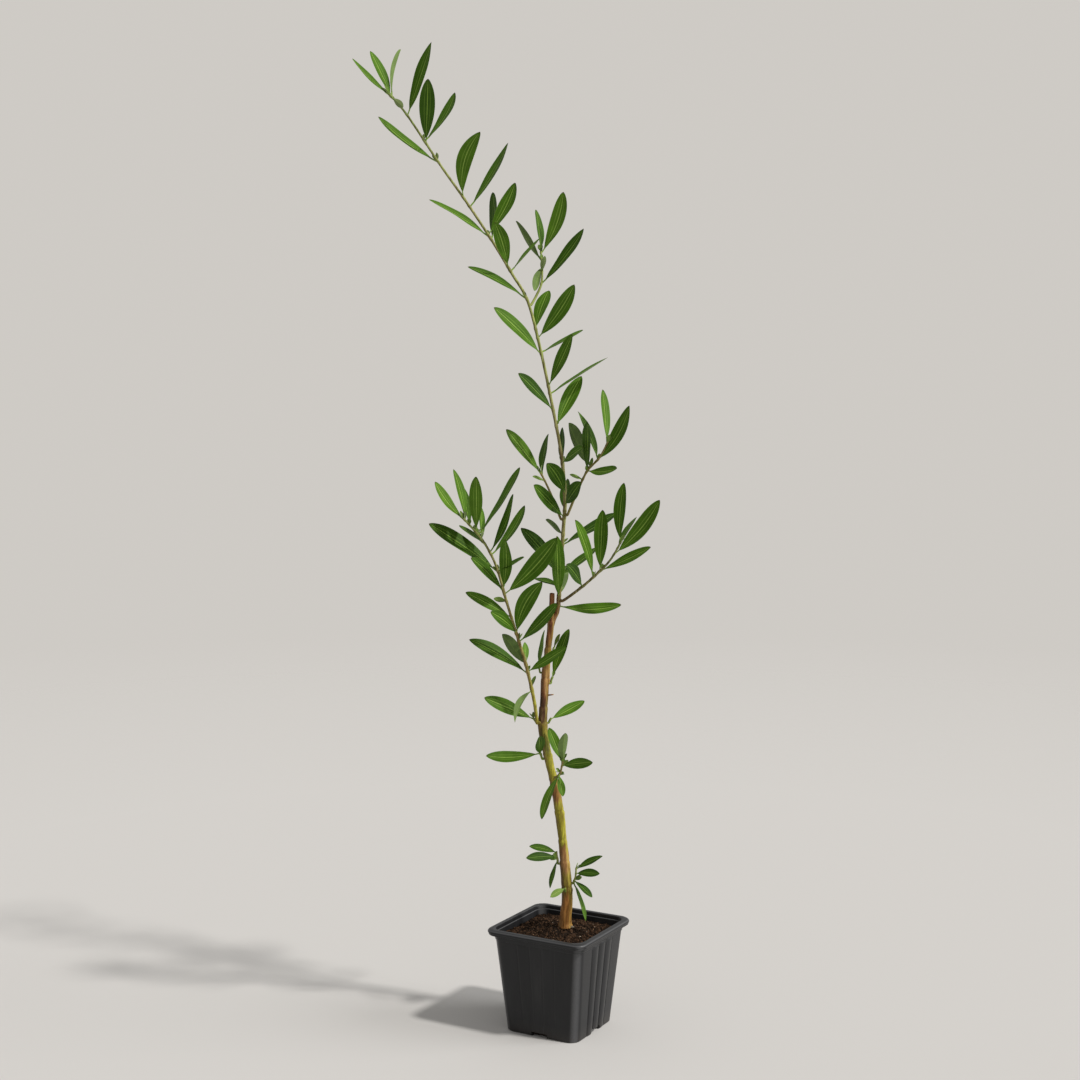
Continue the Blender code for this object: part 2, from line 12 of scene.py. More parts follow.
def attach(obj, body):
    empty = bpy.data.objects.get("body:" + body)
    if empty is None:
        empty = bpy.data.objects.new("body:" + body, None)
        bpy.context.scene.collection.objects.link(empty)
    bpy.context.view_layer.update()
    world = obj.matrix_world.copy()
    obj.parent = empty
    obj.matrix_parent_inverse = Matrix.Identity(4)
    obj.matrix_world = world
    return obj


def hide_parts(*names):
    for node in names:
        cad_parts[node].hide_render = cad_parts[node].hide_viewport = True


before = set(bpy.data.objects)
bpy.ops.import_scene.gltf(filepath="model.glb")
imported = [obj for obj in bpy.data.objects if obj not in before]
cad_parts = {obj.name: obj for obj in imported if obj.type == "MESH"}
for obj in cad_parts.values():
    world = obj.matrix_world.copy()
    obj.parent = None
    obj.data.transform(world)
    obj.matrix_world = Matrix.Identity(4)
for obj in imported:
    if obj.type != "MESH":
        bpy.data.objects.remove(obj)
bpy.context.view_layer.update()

# The pot: a thin square nursery pot, injection moulded in black plastic. Its rim is turned out
# and down, four flutes run down the middle of each side, crisp on two sides and faint on the two
# between them, and each side has a drain notch below.
MM = 0.001
RIM_SIDE = 90.0
POT_HEIGHT = 85.0
RIM_HEIGHT = 4.7
RIM_LIP = 1.3
RIM_BACK = 1.2
BASE_SIDE = 66.0
WALL_TOP_SIDE = 81.0
WALL_HEIGHTS = (20.0, 40.0, 60.0)
WALL = 1.3
FLOOR = 1.6
CORNER = 9.4
CORNER_NARROWING = 0.02
CORNER_STEPS = 12
SHOULDER_DROP = 4.0
SHOULDER_STEP = 0.5
SHOULDER_ROUND = 0.3
SHOULDER_EASE = 0.8
RIM_FOOT_BEVEL = (0.3, 0.4)
FLUTE_PLACES = (-17.3, -5.8, 5.8, 17.3)
FLUTE_DEPTH = 1.1
FLUTE_HALF = 0.85
FLUTE_COLUMNS = (-1.7, -0.85, -0.55, -0.28, 0.0, 0.28, 0.55, 0.85, 1.7)
RIB_BULGE = 1.0
RIB_COLUMNS = (0.32, 0.5, 0.68)
FLUTED_SIDES = (1.0, 0.18, 1.0, 0.18)
NOTCH_WIDTH = 14.0
NOTCH_HEIGHT = 3.5
NOTCH_DEPTH = 5.0
NOTCH_PAST_WALL = 1.0

# Heights above the foot, with how far the wall is drawn in and the share of the flutes' depth
FOOT_ROUNDING = ((0.0, 1.0, 0.0), (0.25, 0.4, 0.2), (0.7, 0.0, 0.6), (1.6, 0.0, 1.0))
# Drops below the shoulder, with the share of the flutes' depth that is left
FLUTE_HEADS = ((3.0, 1.0), (1.6, 0.7), (0.7, 0.2), (0.4, 0.0))
# Heights above the rim's lower edge, with how far the rim is drawn in
RIM_PROFILE = (
    (0.0, 1.05), (0.1, 0.8), (0.35, 0.6), (0.9, 0.5), (1.25, 0.52), (1.45, 0.4), (1.8, 0.16), (2.3, 0.02),
    (2.8, 0.0), (3.3, 0.12), (3.8, 0.42), (4.2, 0.88), (4.5, 1.45), (4.66, 2.1), (4.7, 2.7),
)
# Drops below the top, with how much wider the inside is than the wall below it
INNER_LEDGE = ((0.0, 2.2), (0.3, 1.4), (0.8, 1.1), (3.2, 0.9), (3.7, -0.2))


def wall_side(z):
    """The outer width of the tapering wall at one height."""
    return BASE_SIDE + (WALL_TOP_SIDE - BASE_SIDE) * z / (POT_HEIGHT - RIM_HEIGHT)


def side_relief():
    """Places across one side of the pot, each with how far it stands out: flutes, and ribs between."""
    spacing = FLUTE_PLACES[1] - FLUTE_PLACES[0]
    places = []
    for number, place in enumerate(FLUTE_PLACES):
        places += [place + offset for offset in FLUTE_COLUMNS]
        if number < len(FLUTE_PLACES) - 1:
            places += [place + spacing * part for part in RIB_COLUMNS]
    relief = []
    for across in places:
        near = min(abs(across - place) for place in FLUTE_PLACES)
        dip = cos(pi / 2 * min(near / FLUTE_HALF, 1.0))
        bulge = sin(pi * min(near / spacing, 0.5)) if abs(across) < FLUTE_PLACES[-1] else 0.0
        relief.append((across, RIB_BULGE * bulge - FLUTE_DEPTH * dip))
    return relief


SIDE_RELIEF = side_relief()


def rounded_square(middle, corner, sides, angles):
    """Four sides, each of places given as out and across, with a round corner after each."""
    bend = [(middle + corner * cos(angle), middle + corner * sin(angle)) for angle in angles]
    outline = []
    for quarter, places in enumerate(sides):
        cosine = cos(quarter * pi / 2)
        sine = sin(quarter * pi / 2)
        for out, across in (*places, *bend):
            outline.append((out * cosine - across * sine, out * sine + across * cosine))
    return outline


def pot_outline(z, side, flute):
    """The pot's outline at one height: straight sides with flutes, and quarter circles between."""
    half = side / 2
    corner = CORNER - (RIM_SIDE - side) * CORNER_NARROWING
    narrow = side / WALL_TOP_SIDE
    sides = [[(half + relief * flute * depth, across * narrow) for across, relief in SIDE_RELIEF]
             for depth in FLUTED_SIDES]
    angles = [step * pi / 2 / CORNER_STEPS for step in range(CORNER_STEPS + 1)]
    return [(x, y, z) for x, y in rounded_square(half - corner, corner, sides, angles)]


def ring_faces(first, rings, count):
    """The faces between rings of points that follow one another, from one point on."""
    faces = []
    for low in range(first, first + (rings - 1) * count, count):
        for index in range(count):
            after = (index + 1) % count
            faces.append((low + index, low + after, low + count + after, low + count + index))
    return faces


def new_mesh(name, points, faces):
    mesh = bpy.data.meshes.new(name)
    mesh.from_pydata(points, [], faces)
    return mesh


def loft(name, rings):
    """A closed mesh through rings of equal point count, capped at both ends."""
    count = len(rings[0])
    points = [Vector(point) * MM for ring in rings for point in ring]
    faces = ring_faces(0, len(rings), count)
    faces.append(tuple(reversed(range(count))))
    faces.append(tuple(range(len(points) - count, len(points))))
    return new_mesh(name, points, faces)


def new_object(name, data):
    made = bpy.data.objects.new(name, data)
    bpy.context.scene.collection.objects.link(made)
    return made


def place_piece(name, mesh, materials):
    """Adds one finished piece to the scene, riding on the only body."""
    piece = new_object(name, mesh)
    for material in materials:
        mesh.materials.append(material)
    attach(piece, "root")
    return piece


def shade(mesh, angle):
    mesh.shade_smooth()
    mesh.set_sharp_from_angle(angle=radians(angle))


def drain_notches():
    """Four boxes, joined, that cut the notches at the foot of the sides."""
    sheet = bmesh.new()
    for quarter in range(4):
        turn = Matrix.Rotation(quarter * pi / 2, 4, "Z")
        out = (BASE_SIDE - NOTCH_DEPTH) / 2 + NOTCH_PAST_WALL
        size = Matrix.Diagonal((NOTCH_DEPTH + 2 * NOTCH_PAST_WALL, NOTCH_WIDTH, NOTCH_HEIGHT * 2, 1))
        place = Matrix.Scale(MM, 4) @ turn @ Matrix.Translation((out, 0, 0)) @ size
        bmesh.ops.create_cube(sheet, size=1.0, matrix=place)
    mesh = bpy.data.meshes.new("drain_notches")
    sheet.to_mesh(mesh)
    sheet.free()
    return new_object("drain_notches", mesh)


def pot_section():
    """Height, width and share of the flutes at each ring, up the outside and down the inside."""
    rim_foot = POT_HEIGHT - RIM_HEIGHT
    shoulder = rim_foot - SHOULDER_DROP
    under_rim = POT_HEIGHT - RIM_LIP
    behind_rim = RIM_SIDE - 2 * RIM_LIP - RIM_BACK
    inner_top = wall_side(under_rim) - 2 * WALL
    section = [(z, wall_side(z) - 2 * inset, flute) for z, inset, flute in FOOT_ROUNDING]
    section += [(z, wall_side(z), 1.0) for z in WALL_HEIGHTS]
    section += [(shoulder - drop, wall_side(shoulder - drop), flute) for drop, flute in FLUTE_HEADS]
    section += [
        (shoulder, wall_side(shoulder) + 2 * SHOULDER_STEP * SHOULDER_EASE, 0.0),
        (shoulder + SHOULDER_ROUND, wall_side(shoulder) + 2 * SHOULDER_STEP, 0.0),
        (under_rim, wall_side(under_rim) + 2 * SHOULDER_STEP, 0.0),
        (under_rim, behind_rim, 0.0),
        (rim_foot + RIM_FOOT_BEVEL[0], behind_rim, 0.0),
        (rim_foot, behind_rim + RIM_FOOT_BEVEL[1], 0.0),
    ]
    section += [(rim_foot + z, RIM_SIDE - 2 * inset, 0.0) for z, inset in RIM_PROFILE]
    section += [(POT_HEIGHT - drop, inner_top + wider, 0.0) for drop, wider in INNER_LEDGE]
    section += [(z, wall_side(z) - 2 * WALL, 0.0) for z in (WALL_HEIGHTS[-1], FLOOR)]
    return section


class Wiring:
    """The nodes of one material or group, and the steps that its patterns are made of."""

    def __init__(self, tree):
        self.nodes = tree.nodes
        self.links = tree.links

    def set_inputs(self, node, inputs):
        """Gives each input its value, or the output that it takes its value from."""
        for socket, value in inputs.items():
            if isinstance(value, bpy.types.NodeSocket):
                self.links.new(value, node.inputs[socket])
            else:
                node.inputs[socket].default_value = value

    def add(self, kind, inputs):
        made = self.nodes.new("ShaderNode" + kind)
        self.set_inputs(made, inputs)
        return made

    def add_group(self, group, inputs):
        made = self.nodes.new("ShaderNodeGroup")
        made.node_tree = group
        self.set_inputs(made, inputs)
        return made.outputs

    def ramp(self, source, stops):
        """A colour ramp over a value, with its stops given as place and colour."""
        made = self.add("ValToRGB", {"Fac": source})
        elements = made.color_ramp.elements
        while len(elements) < len(stops):
            elements.new(0.5)
        for element, (place, colour) in zip(elements, stops):
            element.position = place
            element.color = (*colour, 1.0)
        return made.outputs["Color"]

    def mottled(self, source, colour, stops, darker, lighter):
        """A colour that a pattern makes darker in some places and lighter in others."""
        dark = tuple(part * (1 - darker) for part in colour)
        light = tuple(min(1.0, part * (1 + lighter)) for part in colour)
        return self.ramp(source, tuple(zip(stops, (dark, colour, light))))

    def spread(self, source, low, high, to_low, to_high):
        """Maps a value from one range to another."""
        inputs = {"Value": source, "From Min": low, "From Max": high, "To Min": to_low, "To Max": to_high}
        return self.add("MapRange", inputs).outputs["Result"]

    def calculate(self, operation, *values):
        """One step of arithmetic on shader values."""
        made = self.add("Math", dict(enumerate(values)))
        made.operation = operation
        return made.outputs["Value"]

    def vector_step(self, operation, *values):
        """The same for directions and places."""
        made = self.add("VectorMath", dict(enumerate(values)))
        made.operation = operation
        return made.outputs

    def axes(self, kind):
        """The three parts of a place on the piece, or of the way that its surface faces there."""
        place = self.add("TexCoord", {})
        return self.add("SeparateXYZ", {"Vector": place.outputs[kind]}).outputs

    def laid_over(self, base, tint, mask, blend="MIX"):
        """One plain tint laid over a colour, as far as a mask says."""
        made = self.nodes.new("ShaderNodeMix")
        made.data_type = "RGBA"
        made.blend_type = blend
        self.set_inputs(made, {"Factor": mask, "A": base, "B": (*tint, 1.0)})
        return made.outputs["Result"]


def node_group(name, inputs, outputs):
    """A shader node group with named sockets."""
    group = bpy.data.node_groups.new(name, "ShaderNodeTree")
    for socket, value in inputs:
        made = group.interface.new_socket(socket, in_out="INPUT", socket_type="NodeSocketFloat")
        made.default_value = value
    for socket in outputs:
        group.interface.new_socket(socket, in_out="OUTPUT", socket_type="NodeSocketFloat")
    wiring = Wiring(group)
    return group, wiring, group.nodes.new("NodeGroupInput").outputs, group.nodes.new("NodeGroupOutput")


def speckle_group():
    """Fine grain over slow blotches, which every natural or moulded surface here has."""
    inputs = (("Grain Scale", 900.0), ("Blotch Scale", 60.0), ("Stretch", 1.0))
    group, wiring, given, result = node_group("speckle", inputs, ("Grain", "Blotch"))
    place = wiring.add("TexCoord", {})
    squash = wiring.add("CombineXYZ", {"X": 1.0, "Y": 1.0, "Z": given["Stretch"]})
    scaled = wiring.vector_step("MULTIPLY", place.outputs["Object"], squash.outputs["Vector"])
    for output, detail in (("Grain", 3.0), ("Blotch", 4.0)):
        texture = wiring.add("TexNoise", {
            "Vector": scaled["Vector"], "Scale": given[output + " Scale"], "Detail": detail})
        wiring.set_inputs(result, {output: texture.outputs["Fac"]})
    return group


SPECKLE = speckle_group()


class Surface(Wiring):
    """A material with a Principled shader and its own fine grain and slow blotches."""

    def __init__(self, name, specular, grain_scale, blotch_scale, stretch=1.0):
        self.material = bpy.data.materials.new(name)
        self.material.use_nodes = True
        super().__init__(self.material.node_tree)
        self.shader = self.nodes["Principled BSDF"]
        self.shader.inputs["Specular IOR Level"].default_value = specular
        scales = {"Grain Scale": grain_scale, "Blotch Scale": blotch_scale, "Stretch": stretch}
        speckle = self.add_group(SPECKLE, scales)
        self.grain = speckle["Grain"]
        self.blotch = speckle["Blotch"]

    def finished(self, colour, roughness, bump_strength, bump_distance):
        """The material, with its colour, its roughness and a bump from its grain."""
        bump = self.add("Bump", {"Height": self.grain, "Strength": bump_strength, "Distance": bump_distance})
        normal = bump.outputs["Normal"]
        self.set_inputs(self.shader, {"Base Color": colour, "Roughness": roughness, "Normal": normal})
        return self.material


PLASTIC_TONES = (
    (0.30, (0.0140, 0.0144, 0.0156)),
    (0.62, (0.0195, 0.0200, 0.0214)),
    (0.80, (0.0300, 0.0300, 0.0310)),
)
DUST = (0.11, 0.095, 0.08)
DUST_HEIGHT = 0.012
DUST_SHARE = 0.35
# A pale grey painted on as a highlight where the corners and the rim's roll would catch the light
PAINTED_HIGHLIGHT = (0.112, 0.113, 0.117)
# Painted highlight: how the surface faces, from and to, and how much pale grey is painted there as a
# highlight
CORNER_HIGHLIGHT = (0.30, 0.50, 0.0, 0.75)
ROLL_HIGHLIGHT = (0.25, 0.6, 0.0, 0.8)
FLAT_TOP_HIGHLIGHT = (0.7, 0.95, 1.0, 0.25)


def black_plastic():
    """Moulded black plastic, near black and satin and dusty at its foot, with painted highlights on corners
    and rim.
    """
    plastic = Surface("black_plastic", specular=0.24, grain_scale=2600.0, blotch_scale=90.0, stretch=0.12)
    dust = plastic.spread(plastic.axes("Object")["Z"], 0.0, DUST_HEIGHT, DUST_SHARE, 0.0)
    dust = plastic.calculate("MULTIPLY", dust, plastic.grain)
    colour = plastic.laid_over(plastic.ramp(plastic.blotch, PLASTIC_TONES), DUST, dust)
    # Painted highlight: pale grey laid where the surface faces between two sides, at corners and flute
    # walls, and on the rim's roll
    facing = plastic.axes("Normal")
    corner = plastic.calculate("MULTIPLY", facing["X"], facing["Y"])
    corner = plastic.spread(plastic.calculate("ABSOLUTE", corner), *CORNER_HIGHLIGHT)
    flat_top = plastic.spread(facing["Z"], *FLAT_TOP_HIGHLIGHT)
    roll = plastic.calculate("MULTIPLY", plastic.spread(facing["Z"], *ROLL_HIGHLIGHT), flat_top)
    highlight = plastic.calculate("MAXIMUM", corner, roll)
    highlight = plastic.calculate("MULTIPLY", highlight, plastic.spread(plastic.grain, 0.3, 0.6, 0.7, 1.0))
    colour = plastic.laid_over(colour, PAINTED_HIGHLIGHT, highlight)
    roughness = plastic.spread(plastic.blotch, 0.3, 0.8, 0.28, 0.42)
    return plastic.finished(colour, roughness, bump_strength=0.16, bump_distance=0.0002)


pot_mesh = loft("pot_shell", [pot_outline(*ring) for ring in pot_section()])
pot = place_piece("pot_shell", pot_mesh, [black_plastic()])
notches = drain_notches()
notch_cut = pot.modifiers.new("notches", "BOOLEAN")
notch_cut.operation = "DIFFERENCE"
notch_cut.object = notches
bpy.context.view_layer.update()
cut_pot = bpy.data.meshes.new_from_object(pot.evaluated_get(bpy.context.evaluated_depsgraph_get()))
pot.modifiers.clear()
pot.data = cut_pot
bpy.data.objects.remove(notches, do_unlink=True)
shade(pot.data, angle=32)
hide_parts("pot")

# The potting mix: moist peat and fine bark that fills the pot to just below the rim and rises a
# little to the trunk. Loose crumbs of peat, bark and pale grit lie on the bed.
PLANT_TURN = radians(29.7)
TRUNK_FOOT = (5.1, 5.0)
SOIL_EDGE = 77.0
SOIL_LEVEL = 80.6
SOIL_SEAT = 6.6
SOIL_RINGS = 40
SOIL_CLEAR = 2 * WALL + 0.7
PEAT = (0.017, 0.0105, 0.007)
CRUMB_KINDS = (
    ("peat_crumbs", 3400, 0.35, 1.3, (0.019, 0.0100, 0.0050)),
    ("bark_crumbs", 1500, 0.45, 1.6, (0.064, 0.034, 0.018)),
    ("tan_crumbs", 480, 0.3, 0.95, (0.190, 0.115, 0.066)),
    ("grit", 26, 0.45, 0.9, (0.46, 0.39, 0.30)),
)
CRUMB_SEED = 300
CRUMB_SHAPE = ((0.7, 1.5), (0.6, 1.1), (0.5, 0.9))
CRUMB_ROUGHNESS = (0.72, 1.22)
CRUMB_SEAT = (0.0, 0.5)
MOSTLY_SMALL = 2.2
PALE_STONE_PLACE = (10.5, 2.0)
PALE_STONE_RADIUS = 1.5
PALE_STONE_RISE = 0.6
SOIL_CORNER = CORNER - 1
SOIL_SIDE_STEPS = 30
SOIL_CORNER_STEPS = 8
SOIL_HEEL = 0.35
SOIL_MIDDLE = 40.0
SOIL_SHOULDER = 0.8
SOIL_SEAT_NARROWING = 0.55
SOIL_SWELL = 1.6
CLOD_SCALE = 0.13
CLOD_HEIGHT = 0.9


def turned(x, y):
    """A place on the plant as seen from its front, in the pot's frame."""
    cosine = cos(PLANT_TURN)
    sine = sin(PLANT_TURN)
    return x * cosine - y * sine, x * sine + y * cosine


soil_foot = turned(*TRUNK_FOOT)


def soil_outline(z):
    """The bed's outline at one height, just clear of the pot's wall."""
    half = (wall_side(z) - SOIL_CLEAR) / 2 - SOIL_CORNER
    steps = range(SOIL_SIDE_STEPS + 1)
    side = [(half + SOIL_CORNER, -half + 2 * half * step / SOIL_SIDE_STEPS) for step in steps]
    angles = [step * pi / 2 / SOIL_CORNER_STEPS for step in range(1, SOIL_CORNER_STEPS)]
    return rounded_square(half, SOIL_CORNER, [side] * 4, angles)


def towards_trunk(x, y, share):
    """A place part of the way from the bed's edge to the trunk."""
    away = Vector((x - soil_foot[0], y - soil_foot[1])).normalized()
    away *= SOIL_SEAT * (1 - SOIL_SEAT_NARROWING * share)
    return x + (soil_foot[0] + away.x - x) * share, y + (soil_foot[1] + away.y - y) * share


def soil_height(x, y, share):
    """The bed's height, with hollows and clods, at one place."""
    clods = noise.fractal(Vector((x * CLOD_SCALE, y * CLOD_SCALE, 3.7)), 0.9, 2.1, 4)
    return SOIL_EDGE + (SOIL_LEVEL - SOIL_EDGE) * share ** SOIL_SWELL + CLOD_HEIGHT * clods


def soil_rings():
    edge = soil_outline(SOIL_EDGE)
    foot = FLOOR + SOIL_HEEL
    rings = [[(x, y, z) for x, y in soil_outline(z)] for z in (foot, SOIL_MIDDLE)]
    rings.append([(x, y, SOIL_EDGE - SOIL_SHOULDER) for x, y in edge])
    for ring in range(1, SOIL_RINGS + 1):
        share = ring / SOIL_RINGS
        row = [towards_trunk(x, y, share) for x, y in edge]
        rings.append([(x, y, soil_height(x, y, share)) for x, y in row])
    return rings


def soil_colour(name, colour, mottle):
    """Moist earthy matter: a plain colour, darker in its pores, dull and rough."""
    matter = Surface(name, specular=0.12, grain_scale=1500.0, blotch_scale=260.0)
    colour = matter.mottled(matter.blotch, colour, (0.25, 0.55, 0.80), mottle, mottle * 1.6)
    roughness = matter.spread(matter.grain, 0.3, 0.8, 0.72, 1.0)
    return matter.finished(colour, roughness, bump_strength=0.5, bump_distance=0.0006)


soil_mesh = loft("soil_bed", soil_rings())
peat = soil_colour("peat_bed", PEAT, mottle=0.45)
soil_bed = place_piece("soil_bed", soil_mesh, [peat])
shade(soil_mesh, angle=60)
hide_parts("soil")

GOLDEN = (1 + sqrt(5)) / 2
LUMP_POINTS = [Vector(point).normalized() for point in (
    (-1, GOLDEN, 0), (1, GOLDEN, 0), (-1, -GOLDEN, 0), (1, -GOLDEN, 0), (0, -1, GOLDEN), (0, 1, GOLDEN),
    (0, -1, -GOLDEN), (0, 1, -GOLDEN), (GOLDEN, 0, -1), (GOLDEN, 0, 1), (-GOLDEN, 0, -1), (-GOLDEN, 0, 1))]
NEIGHBOURS = 1.06


def lump_faces():
    """The twenty faces of an icosahedron over those points."""
    faces = []
    for a, b, c in combinations(range(len(LUMP_POINTS)), 3):
        corners = [LUMP_POINTS[index] for index in (a, b, c)]
        if all((one - other).length < NEIGHBOURS for one, other in combinations(corners, 2)):
            outward = (corners[1] - corners[0]).cross(corners[2] - corners[0]).dot(corners[0]) > 0
            faces.append((a, b, c) if outward else (a, c, b))
    return faces


LUMP_FACES = lump_faces()


def add_lump(points, faces, middle, radius, chance):
    """One irregular crumb, flattened and turned at random."""
    turn = Matrix.Rotation(chance.uniform(0, tau), 3, "Z")
    turn = turn @ Matrix.Rotation(chance.uniform(0, tau), 3, "X")
    stretch = Vector([chance.uniform(*span) for span in CRUMB_SHAPE])
    first = len(points)
    for point in LUMP_POINTS:
        rough = point * radius * chance.uniform(*CRUMB_ROUGHNESS)
        points.append((middle + turn @ (rough * stretch)) * MM)
    faces.extend(tuple(first + index for index in face) for face in LUMP_FACES)


EDGE_CLEAR = 0.015


def on_the_bed(chance):
    """A random place on the bed, and the bed's height there."""
    x, y = chance.choice(soil_outline(SOIL_EDGE))
    share = 1 - sqrt(chance.random())
    near_x, near_y = towards_trunk(x, y, share)
    near_x -= x * EDGE_CLEAR
    near_y -= y * EDGE_CLEAR
    return Vector((near_x, near_y, soil_height(near_x, near_y, share)))


for seed, (name, count, small, large, colour) in enumerate(CRUMB_KINDS):
    crumb_chance = random.Random(CRUMB_SEED + seed)
    crumb_points = []
    crumb_faces = []
    for _ in range(count):
        radius = small + (large - small) * crumb_chance.random() ** MOSTLY_SMALL
        middle = on_the_bed(crumb_chance)
        middle.z += radius * crumb_chance.uniform(*CRUMB_SEAT)
        add_lump(crumb_points, crumb_faces, middle, radius, crumb_chance)
    if name == "grit":
        stone_x, stone_y = turned(*PALE_STONE_PLACE)
        stone = Vector((stone_x, stone_y, SOIL_LEVEL + PALE_STONE_RISE))
        add_lump(crumb_points, crumb_faces, stone, PALE_STONE_RADIUS, crumb_chance)
    crumb_mesh = new_mesh(name, crumb_points, crumb_faces)
    place_piece(name, crumb_mesh, [soil_colour(name, colour, mottle=0.3)])

# The trunk: a thin stem that leans left as it climbs, olive green and ochre below the fork and
# reddish brown above it, up to the stub where the old leader was pruned off. It stands in the mix.
STEM_SPAN = 8
TRUNK = (
    (5.1, 5, 80.4, 12.6),
    (5.1, 5, 85, 10.2),
    (5.6, 4.6, 92, 9.4),
    (6.6, 4, 106, 8.8),
    (5, 3.4, 130, 8.2),
    (2.6, 2.4, 155, 7),
    (0.6, 1.6, 174, 7.6),
    (-3.2, 0.8, 197, 6.9),
    (-8.6, 0.2, 220, 6.7),
    (-13.3, 0, 246, 7.6),
    (-12.4, 0, 268, 6.3),
    (-11.4, 0, 287, 6.8),
    (-9.4, 0, 308, 5.2),
    (-7.4, 0, 327, 5.3),
    (-6.4, 0, 342, 4.6),
    (-6, 0, 356, 3.9),
)
DRY_SPUR = ((-12, 0, 273, 1.6), (-8.4, 0.4, 273.2, 1.3), (-4.6, 1, 273.5, 0.8))
TRUNK_SIDES = 40
SPUR_SIDES = 12
TRUNK_STEP = 0.55
END_ROUND = 0.12


class Stem:
    """A smooth route in millimetres with a width at each point."""

    def __init__(self, rows):
        self.rows = [rows[0]]
        for index in range(len(rows) - 1):
            before = rows[max(index - 1, 0)]
            after = rows[min(index + 2, len(rows) - 1)]
            for step in range(1, STEM_SPAN + 1):
                share = step / STEM_SPAN
                self.rows.append(self.between(before, rows[index], rows[index + 1], after, share))

    @staticmethod
    def between(before, start, end, after, share):
        """A point of the Catmull-Rom curve through four rows."""
        row = []
        for a, b, c, d in zip(before, start, end, after):
            value = 2 * b + (c - a) * share + (2 * a - 5 * b + 4 * c - d) * share ** 2
            row.append((value + (3 * b - a - 3 * c + d) * share ** 3) / 2)
        return tuple(row)

    def at(self, height):
        """The middle, direction and radius at one height."""
        for low, high in zip(self.rows, self.rows[1:]):
            if low[2] <= height <= high[2]:
                share = (height - low[2]) / max(high[2] - low[2], 0.001)
                middle = Vector(low[:3]).lerp(Vector(high[:3]), share)
                along = (Vector(high[:3]) - Vector(low[:3])).normalized()
                return middle, along, (low[3] + (high[3] - low[3]) * share) / 2
        raise ValueError(f"no stem at {height}")

    def even(self, step):
        """The same route with rows a fixed distance apart."""
        places = np.array(self.rows)
        runs = np.concatenate(([0.0], np.cumsum(np.linalg.norm(np.diff(places[:, :3], axis=0), axis=1))))
        wanted = np.linspace(0.0, runs[-1], max(3, int(runs[-1] / step) + 1))
        return [tuple(np.interp(at, runs, places[:, part]) for part in range(4)) for at in wanted]


def tube(points, faces, rows, sides, relief):
    """Adds a round limb with bark relief, closed at both ends, to lists of points and faces."""
    first = len(points)
    places = [Vector(row[:3]) for row in rows]
    side = None
    for index, row in enumerate(rows):
        before = places[max(index - 1, 0)]
        after = places[min(index + 1, len(rows) - 1)]
        along = (after - before).normalized()
        if side is None:
            side = along.orthogonal().normalized()
        side = (side - along * side.dot(along)).normalized()
        other = along.cross(side)
        for step in range(sides):
            angle = tau * step / sides
            out = side * cos(angle) + other * sin(angle)
            radius = row[3] / 2
            spot = places[index] + out * radius
            points.append((spot + out * relief(spot, out, radius)) * MM)
    faces.extend(ring_faces(first, len(rows), sides))
    for end, shift in ((0, -1), (len(rows) - 1, 1)):
        beyond = (places[end] - places[end - shift]).normalized() * rows[end][3] * END_ROUND
        points.append((places[end] + beyond) * MM)
        tip = len(points) - 1
        ring = first + end * sides
        for step in range(sides):
            pair = (ring + step, ring + (step + 1) % sides)
            faces.append((*pair, tip) if end else (pair[1], pair[0], tip))


KNOT_HEIGHTS = (112, 134, 152, 176, 199, 224, 249, 262, 285, 310, 332)
KNOT_TURN = 2.4
KNOT_RISE = 0.5
KNOT_SPREAD = 2.2
KNOT_CREASE = 0.25
BARK_CREASE = 0.22
BARK_LUMP = 0.28
ALL_ROUND = 0.35
CREASE_ABOVE = 1.1
CREASE_SHARPNESS = 2.4
FULL_RELIEF_RADIUS = 2.4


def with_the_grain(spot, across, along, shift=0.0):
    """The same place in a pattern that is drawn out along the stem."""
    return Vector((spot.x * across, spot.y * across, spot.z * along + shift))


def trunk_relief(spot, out, radius):
    """Long creases, small lumps, and a knot on one side at each old leaf scar."""
    crease = noise.fractal(with_the_grain(spot, across=0.55, along=0.07), 0.8, 2.2, 4)
    lump = noise.noise(with_the_grain(spot, across=0.25, along=0.12, shift=9.0))
    rise = BARK_CREASE * crease + BARK_LUMP * lump
    for number, height in enumerate(KNOT_HEIGHTS):
        near = (spot.z - height) / KNOT_SPREAD
        if abs(near) < 3:
            scar = Vector((cos(number * KNOT_TURN), sin(number * KNOT_TURN), 0))
            rise += KNOT_RISE * exp(-near * near) * (ALL_ROUND + (1 - ALL_ROUND) * max(0.0, scar.dot(out)))
            rise -= KNOT_CREASE * exp(-((near - CREASE_ABOVE) * CREASE_SHARPNESS) ** 2)
    return rise * min(1.0, radius / FULL_RELIEF_RADIUS)


